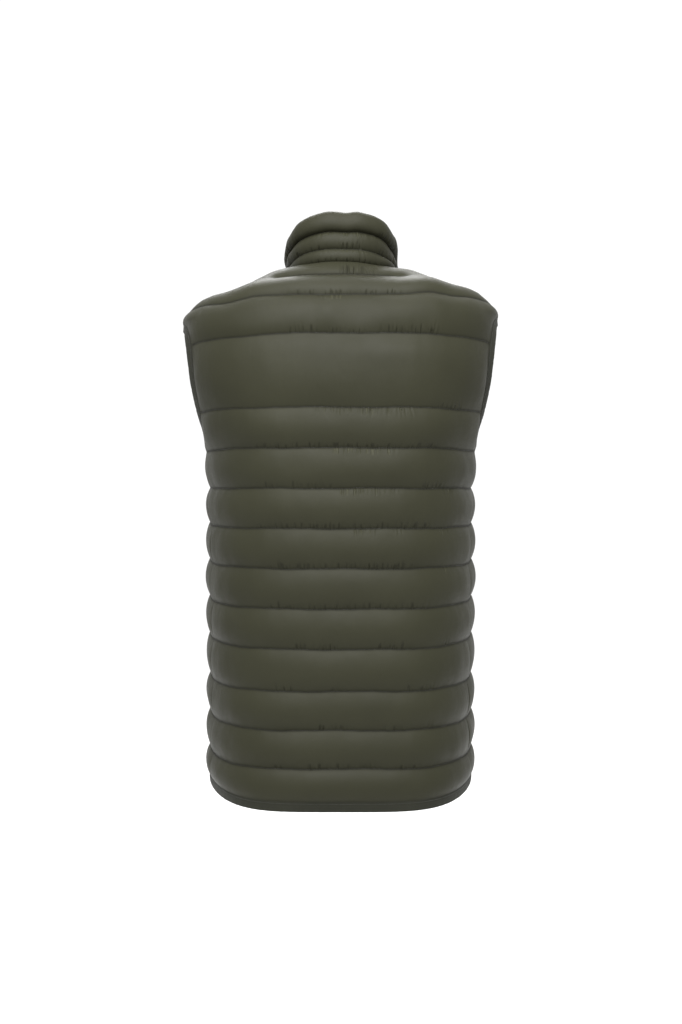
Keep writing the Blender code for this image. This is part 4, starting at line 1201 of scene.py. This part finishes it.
def binding_tape(name, colour):
    """Knitted elastic tape: ribs across its length, matt, with a soft bloom."""
    m = Nodes(name)
    place = m.add("ShaderNodeTexCoord")
    cloth, spot = place.outputs["UV"], place.outputs["Object"]
    ribs = m.wave(cloth, 300.0, "X")
    knit = m.wave(cloth, 520.0, "Y")
    fuzz = m.noise(m.scaled(cloth, 2200.0, 2200.0, 1.0), 1.0, 2.0)
    uneven = m.noise(spot, 22.0, 3.0)
    tone = m.mix(m.range(uneven, 0.3, 0.7, 0.0, 1.0), shade_of(colour, 0.90), shade_of(colour, 1.10))
    tone = m.mix(m.math("MULTIPLY", ribs, 0.35), tone, shade_of(colour, 0.70))
    height = m.math("ADD", m.math("MULTIPLY", ribs, knit), m.math("MULTIPLY", fuzz, 0.4))
    m.shade(Base_Color=tone, Roughness=m.range(fuzz, 0.3, 0.7, 0.66, 0.80),
            Normal=m.bump(height, 0.00030, 0.55), Specular_IOR_Level=0.10,
            Sheen_Weight=0.04, Sheen_Roughness=0.50)
    return m.material


def woven_tape(name, colour):
    """Zip tape: a twill, matt, with a soft bloom."""
    m = Nodes(name)
    place = m.add("ShaderNodeTexCoord")
    cloth, spot = place.outputs["UV"], place.outputs["Object"]
    twill = m.wave(cloth, 330.0, "DIAGONAL")
    cross = m.wave(cloth, 560.0, "Y")
    tone = m.mix(m.range(m.noise(spot, 40.0, 2.0), 0.3, 0.7, 0.0, 1.0),
                 shade_of(colour, 0.88), shade_of(colour, 1.12))
    tone = m.mix(m.math("MULTIPLY", twill, 0.4), tone, shade_of(colour, 0.62))
    height = m.math("ADD", twill, m.math("MULTIPLY", cross, 0.5))
    m.shade(Base_Color=tone, Roughness=m.range(twill, 0.0, 1.0, 0.70, 0.86),
            Normal=m.bump(height, 0.00022, 0.60), Specular_IOR_Level=0.20,
            Sheen_Weight=0.08, Sheen_Roughness=0.50)
    return m.material


def thread(name, colour):
    """Twisted sewing thread."""
    m = Nodes(name)
    spot = m.add("ShaderNodeTexCoord").outputs["Object"]
    twist = m.wave(spot, 900.0, "DIAGONAL")
    tone = m.mix(twist, shade_of(colour, 0.75), shade_of(colour, 1.15))
    m.shade(Base_Color=tone, Roughness=m.range(twist, 0.0, 1.0, 0.42, 0.60),
            Normal=m.bump(twist, 0.00008, 0.5), Specular_IOR_Level=0.40, Sheen_Weight=0.15)
    return m.material


def moulded(name, colour):
    """Nylon coil: smooth with a faint drawn grain."""
    m = Nodes(name)
    spot = m.add("ShaderNodeTexCoord").outputs["Object"]
    grain = m.noise(m.scaled(spot, 60.0, 900.0, 900.0), 1.0, 2.0)
    tone = m.mix(grain, shade_of(colour, 0.85), shade_of(colour, 1.20))
    m.shade(Base_Color=tone, Roughness=m.range(grain, 0.3, 0.7, 0.34, 0.48),
            Normal=m.bump(grain, 0.00004, 0.4), Specular_IOR_Level=0.50)
    return m.material


def lacquered(name, colour, bare):
    """Lacquered zinc: a thin orange-peel coat, worn to brighter metal at its edges."""
    m = Nodes(name)
    spot = m.add("ShaderNodeTexCoord").outputs["Object"]
    peel = m.noise(spot, 2600.0, 2.0)
    worn = m.noise(spot, 700.0, 4.0, 0.65)
    edge = m.add("ShaderNodeNewGeometry").outputs["Pointiness"]
    rubbed = m.range(edge, 0.52, 0.60, 0.0, 1.0)
    rubbed = m.math("MULTIPLY", rubbed, m.range(worn, 0.42, 0.62, 0.0, 1.0))
    tone = m.mix(m.math("MULTIPLY", rubbed, 0.25), colour, bare)
    m.shade(Base_Color=tone, Metallic=0.75, Roughness=m.range(worn, 0.3, 0.7, 0.30, 0.44),
            Normal=m.bump(peel, 0.00003, 0.4))
    return m.material


@functools.cache
def finish(kind):
    """The finish of that name, in the colours of the scene's settings."""
    colours = bpy.context.scene.vest_colours
    makers = {
        "outer": lambda: nylon("Outer nylon", tuple(colours.outer), 0.45, 0.00016),
        "lining": lambda: nylon("Inner nylon", tuple(colours.inside), 0.50, 0.00012),
        "binding": lambda: binding_tape("Elastic binding", tuple(colours.binding)),
        "tape": lambda: woven_tape("Woven zip tape", tuple(colours.tape)),
        "thread": lambda: thread("Sewing thread", tuple(colours.thread)),
        "coil": lambda: moulded("Nylon coil", tuple(colours.coil)),
        "metal": lambda: lacquered("Lacquered zinc", tuple(colours.metal), (0.42, 0.40, 0.36, 1.0)),
    }
    return makers[kind]()


# ---------------------------------------------------------------- small hard pieces
def rounded_outline(half_wide, low, high, corner, waist=0.0):
    """Outline of an upright plate with round corners, drawn in at its waist."""
    points = []
    for x_side, z_side, first in ((1, -1, -90), (1, 1, 0), (-1, 1, 90), (-1, -1, 180)):
        cx, cz = x_side * (half_wide - corner), (high - corner if z_side > 0 else low + corner)
        for k in range(7):
            a = math.radians(first + 15 * k)
            points.append((cx + corner * math.cos(a), cz + corner * math.sin(a)))
        if x_side * z_side == -1 and waist:
            for t in np.linspace(0.15, 0.85, 7):
                z = (low + corner) + (high - low - 2 * corner) * (t if x_side > 0 else 1 - t)
                pull = waist * math.sin(math.pi * t)
                points.append((x_side * (half_wide - pull), z))
    return points


def plate(outline, front, back, bevel, holes=()):
    """A plate between two depths (y) with bevelled edges, as a bmesh."""
    shape = bmesh.new()
    loop = [shape.verts.new((x, front, z)) for x, z in outline]
    edges = [shape.edges.new((a, b)) for a, b in zip(loop, loop[1:] + loop[:1])]
    for cx, cz, radius in holes:
        ring = [shape.verts.new((cx + radius * math.cos(a), front, cz + radius * math.sin(a)))
                for a in np.linspace(0, 2 * math.pi, 20, endpoint=False)]
        edges += [shape.edges.new((a, b)) for a, b in zip(ring, ring[1:] + ring[:1])]
    bmesh.ops.triangle_fill(shape, use_beauty=True, edges=edges)
    bmesh.ops.dissolve_limit(shape, angle_limit=0.01, verts=shape.verts[:], edges=shape.edges[:])
    faces = shape.faces[:]
    grown = bmesh.ops.extrude_face_region(shape, geom=faces)
    moved = [v for v in grown["geom"] if isinstance(v, bmesh.types.BMVert)]
    bmesh.ops.translate(shape, verts=moved, vec=(0, back - front, 0))
    bmesh.ops.recalc_face_normals(shape, faces=shape.faces[:])
    rim = [e for e in shape.edges if e.calc_face_angle(0) > 0.9]
    bmesh.ops.bevel(shape, geom=rim, offset=bevel, segments=3, profile=0.5, affect="EDGES")
    return shape


def rod(points, radius, sides, across=(1.0, 0, 0)):
    """A round bar with closed ends along a plane path, as a bmesh; across is square to
    the plane."""
    shape = bmesh.new()
    rings = []
    for p, d in zip(points, unit(np.gradient(points, axis=0))):
        u = unit(np.array(across) - d * np.dot(across, d))
        v = np.cross(d, u)
        rings.append([shape.verts.new(p + radius * (math.cos(a) * u + math.sin(a) * v))
                      for a in np.linspace(0, 2 * math.pi, sides, endpoint=False)])
    for low, high in zip(rings, rings[1:]):
        for k in range(sides):
            n = (k + 1) % sides
            shape.faces.new((low[k], low[n], high[n], high[k]))
    shape.faces.new(rings[0][::-1])
    shape.faces.new(rings[-1])
    bmesh.ops.recalc_face_normals(shape, faces=shape.faces[:])
    return shape


def joined_piece(name, shapes, material):
    """One object from several closed shapes."""
    mesh = bpy.data.meshes.new(name)
    whole = bmesh.new()
    for shape in shapes:
        part = bpy.data.meshes.new("part")
        shape.to_mesh(part)
        shape.free()
        whole.from_mesh(part)
        bpy.data.meshes.remove(part)
    whole.to_mesh(mesh)
    whole.free()
    mesh.materials.append(material)
    mesh.shade_smooth()
    mesh.set_sharp_from_angle(angle=math.radians(35))
    piece = bpy.data.objects.new(name, mesh)
    bpy.context.scene.collection.objects.link(piece)
    return piece


def kept(piece, body, slot, *nodes):
    """Says which body the piece rides on and hides the solids that it stands for. Its
    slot is not used.
    """
    if nodes:
        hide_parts(*nodes)
    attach(piece, body)


def shape_sizes(context):
    """The two sizes that every padded shape is made from."""
    sizes = context.scene.vest_sizes
    return round(sizes.fullness, 6), round(sizes.puckering, 4)


# ---------------------------------------------------------------- settings
class VestSizes(PropertyGroup):
    """Sizes that a user would change."""

    fullness: FloatProperty(
        name="Fullness", description="How far a channel stands out between its sewn lines",
        default=FULLNESS, min=0.0, max=0.02, subtype="DISTANCE", unit="LENGTH")
    puckering: FloatProperty(
        name="Puckering", description="Strength of the gathers beside the sewn lines",
        default=1.0, min=0.0, max=2.0, subtype="FACTOR")
    stitch_pitch: FloatProperty(
        name="Stitch pitch", description="Distance from one stitch to the next",
        default=0.0031, min=0.001, max=0.01, subtype="DISTANCE", unit="LENGTH")
    thread: FloatProperty(
        name="Thread", description="Thickness of the sewing thread",
        default=0.00042, min=0.0001, max=0.002, subtype="DISTANCE", unit="LENGTH")
    tooth_pitch: FloatProperty(
        name="Coil pitch", description="Distance from one turn of the zip's coil to the next",
        default=0.00150, min=0.0005, max=0.01, subtype="DISTANCE", unit="LENGTH")
    seed: IntProperty(
        name="Seed", description="Picks the small differences from stitch to stitch",
        default=7, min=0, max=1000)


class VestColours(PropertyGroup):
    """Colours that a user would change."""

    outer: FloatVectorProperty(
        name="Outer cloth", description="Colour of the quilted nylon", subtype="COLOR", size=4,
        default=(0.0180, 0.0180, 0.0106, 1.0), min=0.0, max=1.0)
    inside: FloatVectorProperty(
        name="Inside", description="Colour of the inner face", subtype="COLOR", size=4,
        default=(0.0190, 0.0190, 0.0115, 1.0), min=0.0, max=1.0)
    binding: FloatVectorProperty(
        name="Binding", description="Colour of the elastic tape at hem and armholes",
        subtype="COLOR", size=4, default=(0.0125, 0.0130, 0.0085, 1.0), min=0.0, max=1.0)
    tape: FloatVectorProperty(
        name="Zip tape", description="Colour of the woven zip tape", subtype="COLOR", size=4,
        default=(0.0150, 0.0153, 0.0100, 1.0), min=0.0, max=1.0)
    # Darker than the cloth: partly the thread's own colour, partly painted shade along the sewn
    # lines.
    thread: FloatVectorProperty(
        name="Thread", description="Colour of the sewing thread", subtype="COLOR", size=4,
        default=(0.0090, 0.0090, 0.0055, 1.0), min=0.0, max=1.0)
    coil: FloatVectorProperty(
        name="Coil", description="Colour of the zip's coil", subtype="COLOR", size=4,
        default=(0.0150, 0.0153, 0.0100, 1.0), min=0.0, max=1.0)
    metal: FloatVectorProperty(
        name="Zip metal", description="Lacquer on the slider, tab and box", subtype="COLOR",
        size=4, default=(0.0600, 0.0600, 0.0520, 1.0), min=0.0, max=1.0)


# ---------------------------------------------------------------- operators
class VEST_OT_back(Operator):
    """Quilted back"""

    bl_idname = "vest.back"
    bl_label = "Quilted back"

    def execute(self, context):
        shape = back_shape(*shape_sizes(context))
        piece = wall_piece("quilted_back", shape, 1, finish("outer"), finish("lining"),
                           WALL_FACE_ROWS)
        kept(piece, "vest", "shell_cloth", "back")
        return {"FINISHED"}


class VEST_OT_fronts(Operator):
    """Quilted left and right fronts"""

    bl_idname = "vest.fronts"
    bl_label = "Quilted fronts"

    def execute(self, context):
        for side, name in ((1, "left"), (-1, "right")):
            shape = front_shape(side, *shape_sizes(context))
            piece = wall_piece(f"quilted_front_{name}", shape, side, finish("outer"),
                               finish("lining"), WALL_FACE_ROWS)
            kept(piece, "vest", "shell_cloth", f"front_{name}")
        return {"FINISHED"}


class VEST_OT_collar(Operator):
    """Stand-up collar with a full top roll"""

    bl_idname = "vest.collar"
    bl_label = "Collar"

    def execute(self, context):
        shape = collar_shape(*shape_sizes(context))
        piece = wall_piece("quilted_collar", shape, 1, finish("outer"), finish("lining"), 1)
        kept(piece, "vest", "shell_cloth", "collar")
        return {"FINISHED"}


class VEST_OT_bindings(Operator):
    """Folded tapes round the armholes and along the hem"""

    bl_idname = "vest.bindings"
    bl_label = "Bindings"

    def execute(self, context):
        sizes = shape_sizes(context)
        for side, name in ((1, "left"), (-1, "right")):
            outer, inner, off, along = armhole_edge(side, *sizes)
            ripple = tape_ripple(61 + side, along[:-1], 0.00014)
            rings, across = binding_rings(outer, inner, off, BINDING_WIDTH, ripple)
            rings = rings * [side, 1, 1]
            piece = band_piece(f"armhole_tape_{name}", rings, True, finish("binding"),
                               across, along[:-1])
            kept(piece, "vest", "binding", f"armhole_binding_{name}")
            self.declare(piece, along[-1], BINDING_WIDTH)
        outer, inner, off, along = hem_edge(*sizes)
        ripple = tape_ripple(67, along, 0.00016)
        rings, across = binding_rings(outer, inner, off, HEM_TAPE - GAP, ripple)
        piece = band_piece("hem_tape", rings, False, finish("binding"), across, along)
        kept(piece, "vest", "binding", "hem_binding")
        self.declare(piece, along[-1], HEM_TAPE)
        return {"FINISHED"}

    def declare(self, piece, length, width):
        """Does nothing: the piece, the length and the width are not used."""


class VEST_OT_sewing(Operator):
    """Stitches along the quilting lines, the front edges and the bindings"""

    bl_idname = "vest.sewing"
    bl_label = "Sewing"

    def execute(self, context):
        sizes = shape_sizes(context)
        panels = [("back", back_shape(*sizes), 1), ("front_left", front_shape(1, *sizes), 1),
                  ("front_right", front_shape(-1, *sizes), -1), ("collar", collar_shape(*sizes), 1)]
        for name, shape, side in panels:
            lines = [shape.outer[row, 2:-2] + shape.normals[row, 2:-2] * 0.00010
                     for row in shape.rows.line_rows()[1:-1]]
            if name.startswith("front"):
                lines.append(self.edge_line(shape))
            self.sew(context, f"quilting_stitches_{name}", lines, side)
        for side, name in ((1, "left"), (-1, "right")):
            lines = [np.concatenate([v, v[:1]])
                     for v in self.tape_lines(*armhole_edge(side, *sizes)[:3])]
            self.sew(context, f"armhole_stitches_{name}", lines, side)
        self.sew(context, "hem_stitches", self.tape_lines(*hem_edge(*sizes)[:3]), 1)
        return {"FINISHED"}

    def edge_line(self, shape):
        """The topstitched line beside the zip."""
        columns = np.argmax(shape.flat[:, :, 0] > 0.0045, axis=1)
        rows = np.flatnonzero(shape.rows.height[:, 0] < NECK_FRONT)
        return shape.outer[rows, columns[rows]] + shape.normals[rows, columns[rows]] * 0.00012

    def tape_lines(self, outer, inner, off):
        """Two lines through a folded tape, one on each face."""
        normal = tape_normal(outer, inner, off)
        return [outer + off * 0.0012 + normal * 0.00115,
                outer + off * 0.0012 - normal * (WALL + 0.00115)]

    def sew(self, context, name, lines, side):
        """Sews the lines and keeps the stitches as one piece."""
        sizes = context.scene.vest_sizes
        lines = [worn_lean(line * [side, 1, 1]) for line in lines]
        size = (sizes.thread, sizes.thread, sizes.stitch_pitch * 0.84)
        piece = row_piece(name, lines, row_tree("Sewn thread", False), sizes.stitch_pitch, size,
                          0.08, sizes.seed, finish("thread"))
        kept(piece, "vest", "shell_cloth")


@functools.cache
def zip_path(fullness, depth):
    """The zip's middle line, hem to collar top: points, points at the tape's outer edge,
    and outward directions."""
    front = front_shape(1, fullness, depth)
    collar = collar_shape(fullness, depth)
    rows = np.flatnonzero(front.rows.height[:, 0] <= NECK_FRONT + 0.00001)
    column = int(np.argmax(front.flat[rows[0], :, 0] > TAPE_OUTER - FRONT_EDGE))
    edge = np.concatenate([front.inner[rows, 0], collar.inner[1:, -1]])
    beside = np.concatenate([front.inner[rows, column], collar.inner[1:, -4]])
    share = (TAPE_OUTER - edge[:, :1]) / (beside[:, :1] - edge[:, :1])
    beside = edge + (beside - edge) * share
    foot, top = (corner.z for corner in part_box("zip_tape_left"))
    paths = []
    for line in (edge, beside):
        line = line[line[:, 2] < top]
        low = line[0] - unit(line[4] - line[0]) * (line[0, 2] - foot)
        high = line[-1] + unit(line[-1] - line[-4]) * (top - line[-1, 2])
        path = even_path(np.concatenate([[low], line, [high]]), [], ZIP_STEPS)[0]
        paths.append(smoothed(path, 12))
    run = unit(np.gradient(paths[0], axis=0))
    outward = unit(np.stack([0 * run[:, 0], -run[:, 2], run[:, 1]], axis=1))
    return *paths, outward


def at_x(line, x):
    """The same line of points, at another distance from the centre line."""
    return line * [0, 1, 1] + [x, 0, 0]


class VEST_OT_zip_tapes(Operator):
    """Woven tapes on both sides of the zip"""

    bl_idname = "vest.zip_tapes"
    bl_label = "Zip tapes"

    def execute(self, context):
        path, beside, outward = zip_path(*shape_sizes(context))
        chained = ease((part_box("zip_chain")[1].z - 0.008 - path[:, 2]) / 0.006)
        reach = TAPE_INNER + (TAPE_CORD - TAPE_INNER) * chained
        lines = [at_x(path, 0.0) + np.outer(reach, [1, 0, 0]),
                 at_x(path, TAPE_INNER), at_x(path, (TAPE_INNER + FRONT_EDGE) / 2), path, beside]
        swell = (-0.00015, 0.0, 0.0, 0.0, 0.0)
        for name, side in (("left", 1), ("right", -1)):
            front = [line - outward * (TAPE_CLEARANCE - s) for line, s in zip(lines, swell)]
            rear = [line - outward * (TAPE_CLEARANCE + TAPE_THICKNESS + s)
                    for line, s in zip(lines, swell)]
            rings = np.array(front + rear[::-1]).transpose(1, 0, 2) * [side, 1, 1]
            across = np.array([-0.0029, 0.0, 0.0036, 0.0072, 0.0112])
            across = np.concatenate([across, across[::-1]])
            steps = np.linalg.norm(np.diff(path, axis=0), axis=1)
            along = np.concatenate([[0], np.cumsum(steps)])
            piece = band_piece(f"woven_tape_{name}", rings, False, finish("tape"), across, along)
            kept(piece, "vest", "zip_tape", f"zip_tape_{name}")
        return {"FINISHED"}


class VEST_OT_zip_coil(Operator):
    """The zip's closed coil"""

    bl_idname = "vest.zip_coil"
    bl_label = "Zip coil"

    def execute(self, context):
        path, _, outward = zip_path(*shape_sizes(context))
        sizes = context.scene.vest_sizes
        low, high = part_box("zip_chain")
        chain = path - outward * CHAIN_DEPTH
        chain = chain[(chain[:, 2] > low.z) & (chain[:, 2] < high.z)]
        half = sizes.tooth_pitch / 2
        lines = [at_x(chain, TOOTH_OFFSET), at_x(chain, -TOOTH_OFFSET) + [0, 0, half]]
        piece = row_piece("zip_coil", lines, row_tree("Zip coil", True), sizes.tooth_pitch,
                          TOOTH_SIZE, 0.02, sizes.seed, finish("coil"))
        kept(piece, "vest", "zip_coil", "zip_chain")
        return {"FINISHED"}


class VEST_OT_slider(Operator):
    """The slider at the top of the zip, with its bridge"""

    bl_idname = "vest.slider"
    bl_label = "Slider"

    def execute(self, context):
        low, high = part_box("zip_slider")
        half = (high.x - low.x) / 2
        rear = high.y
        face = joint_place()[1] + PIVOT_RADIUS + GAP
        outline = rounded_outline(half, low.z, high.z, 0.0022, 0.0007)
        front = plate(outline, face, face + PLATE, 0.00035)
        back = plate(outline, rear - PLATE, rear, 0.00035)
        post_high = high.z - 0.0008
        post = plate(rounded_outline(0.0022, post_high - 0.0034, post_high, 0.0010),
                     face + 0.0004, rear - 0.0004, 0.0003)
        arch = [(0, face + 0.0004, low.z + 0.0019), (0, face - 0.0008, low.z + 0.0020)]
        middle = (low.z + high.z) / 2
        for t in np.linspace(0, 1, 9):
            arch.append((0, low.y + 0.0006 + 0.0006 * (2 * t - 1) ** 2,
                         low.z + 0.0026 + (high.z - low.z - 0.0052) * t))
        arch += [(0, face - 0.0008, high.z - 0.0020), (0, face + 0.0004, high.z - 0.0019)]
        arch = even_path(np.array(arch), [], 26)[0]
        bridge = rod(smoothed(arch, 2), 0.00060, 12)
        for vertex in bridge.verts:
            vertex.co.x *= 1.9
        rims = []
        for side in (-1, 1):
            x = side * (half - 0.0005)
            run = [(x, face + PLATE * 0.8 + (rear - face - PLATE) * 0.25, middle + d)
                   for d in np.linspace(-0.0038, 0.0016, 7)]
            rims.append(rod(np.array(run), 0.00042, 8))
        piece = joined_piece("slider_body", [front, back, post, bridge, *rims], finish("metal"))
        kept(piece, "vest", "zip_metal", "zip_slider")
        return {"FINISHED"}


def joint_place():
    """Where the pull tab's hinge is, in the row frame."""
    for joint in frame["joints"]:
        if joint["child"] == "pull_tab":
            return joint["pos_m"]
    raise ValueError("the frame has no joint for the pull tab")


class VEST_OT_pull_tab(Operator):
    """The pull tab, which hangs from the slider's bridge"""

    bl_idname = "vest.pull_tab"
    bl_label = "Pull tab"

    def execute(self, context):
        low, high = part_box("zip_pull_tab")
        _, y, z = joint_place()
        half = (high.x - low.x) / 2
        neck_low = z - 0.0084
        grip = plate(rounded_outline(half, low.z, neck_low + 0.0006, 0.0021, 0.0006),
                     low.y, high.y, 0.00045, holes=((0, low.z + 0.0046, 0.0011),))
        ridges = [plate(rounded_outline(half - 0.0014, zc - 0.00035, zc + 0.00035, 0.0003),
                        low.y - 0.00018, low.y + 0.0004, 0.0001)
                  for zc in np.linspace(low.z + 0.0076, neck_low - 0.0026, 5)]
        wide = 0.0021 + 0.0004
        loop = [(-wide, y, neck_low), (-wide, y, z - 0.0006), (-wide + 0.0006, y, z),
                (0, y, z), (wide - 0.0006, y, z), (wide, y, z - 0.0006), (wide, y, neck_low)]
        loop = smoothed(even_path(np.array(loop), [], 30)[0], 1)
        eye = rod(loop, (high.y - low.y) * 0.34, 10, across=(0, 1.0, 0))
        piece = joined_piece("pull_tab_plate", [grip, eye, *ridges], finish("metal"))
        kept(piece, "pull_tab", "zip_metal", "zip_pull_tab")
        return {"FINISHED"}


class VEST_OT_zip_box(Operator):
    """The box and pin at the foot of the zip"""

    bl_idname = "vest.zip_box"
    bl_label = "Zip box"

    def execute(self, context):
        low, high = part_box("zip_bottom_box")
        half = (high.x - low.x) / 2
        box = plate(rounded_outline(half, low.z, high.z - 0.0012, 0.0008), low.y, high.y, 0.0005)
        pin = plate(rounded_outline(0.0007, high.z - 0.0030, high.z, 0.0003),
                    low.y + 0.0012, high.y - 0.0012, 0.0002)
        piece = joined_piece("zip_box", [box, pin], finish("metal"))
        kept(piece, "vest", "zip_metal", "zip_bottom_box")
        return {"FINISHED"}


class VEST_OT_stage(Operator):
    """Floor, light and camera"""

    bl_idname = "vest.stage"
    bl_label = "Stage"

    def execute(self, context):
        scene = context.scene
        scene.view_settings.view_transform = "Standard"
        self.floor()
        self.sky(scene)
        self.lamp("Behind", (0.06, 1.30, 1.05), (0.00, 0.10, 0.00), 1.90, 59.0, 120)
        self.lamp("Ahead", (0.05, -1.30, 1.75), (0.0, -0.12, -0.25), 1.50, 52.0, 180)
        camera = bpy.data.objects.new("Camera", bpy.data.cameras.new("Camera"))
        scene.collection.objects.link(camera)
        camera.data.lens = CAMERA_LENS
        camera.data.shift_y = CAMERA_SHIFT
        camera.data.clip_start = 0.05
        camera.data.clip_end = 60
        camera.location = CAMERA_PLACE
        camera.rotation_euler = (math.radians(90), 0, math.radians(180))
        scene.camera = camera
        return {"FINISHED"}

    def floor(self):
        """A plain pale floor."""
        mesh = bpy.data.meshes.new("floor")
        corners = [(x * FLOOR_SIZE, y * FLOOR_SIZE, FLOOR_HEIGHT)
                   for x, y in ((-1, -1), (1, -1), (1, 1), (-1, 1))]
        mesh.from_pydata(corners, [], [(0, 1, 2, 3)])
        floor = bpy.data.objects.new("floor", mesh)
        bpy.context.scene.collection.objects.link(floor)
        m = Nodes("Pale floor")
        spot = m.add("ShaderNodeTexCoord").outputs["Object"]
        tone = m.mix(m.noise(spot, 3.0, 2.0), (0.95, 0.95, 0.95, 1.0), (0.97, 0.97, 0.97, 1.0))
        m.shade(Base_Color=tone, Roughness=0.9)
        mesh.materials.append(m.material)

    def sky(self, scene):
        """Even white light from all round."""
        world = bpy.data.worlds.new("White room")
        scene.world = world
        world.use_nodes = True
        white = world.node_tree.nodes["Background"]
        white.inputs["Color"].default_value = (1, 1, 1, 1)
        white.inputs["Strength"].default_value = 1.06

    def lamp(self, name, place, target, size, power, spread):
        """A square soft light that faces a target; spread is its beam's angle in degrees."""
        light = bpy.data.lights.new(name, "AREA")
        light.size = size
        light.energy = power
        light.spread = math.radians(spread)
        item = bpy.data.objects.new(name, light)
        bpy.context.scene.collection.objects.link(item)
        item.location = place
        aim = Vector(target) - Vector(place)
        item.rotation_euler = aim.to_track_quat("-Z", "Y").to_euler()


STEPS = (VEST_OT_back, VEST_OT_fronts, VEST_OT_collar, VEST_OT_bindings, VEST_OT_sewing,
         VEST_OT_zip_tapes, VEST_OT_zip_coil, VEST_OT_slider, VEST_OT_pull_tab, VEST_OT_zip_box,
         VEST_OT_stage)


class VEST_PT_panel(Panel):
    """The vest's sizes, colours and pieces"""

    bl_idname = "VEST_PT_panel"
    bl_label = "Puffer vest"
    bl_space_type = "VIEW_3D"
    bl_region_type = "UI"
    bl_category = "Vest"

    def draw(self, context):
        column = self.layout.column()
        for group in (context.scene.vest_sizes, context.scene.vest_colours):
            for name in group.__annotations__:
                column.prop(group, name)
        for step in STEPS:
            column.operator(step.bl_idname)


CLASSES = (VestSizes, VestColours, *STEPS, VEST_PT_panel)


def register():
    for item in CLASSES:
        bpy.utils.register_class(item)
    bpy.types.Scene.vest_sizes = PointerProperty(type=VestSizes)
    bpy.types.Scene.vest_colours = PointerProperty(type=VestColours)


def unregister():
    del bpy.types.Scene.vest_colours
    del bpy.types.Scene.vest_sizes
    for item in reversed(CLASSES):
        bpy.utils.unregister_class(item)


def main():
    register()
    for item in [o for o in bpy.data.objects if o.type in {"LIGHT", "CAMERA"}]:
        bpy.data.objects.remove(item)
    for step in STEPS:
        group, name = step.bl_idname.split(".")
        getattr(getattr(bpy.ops, group), name)()


if __name__ == "__main__":
    main()
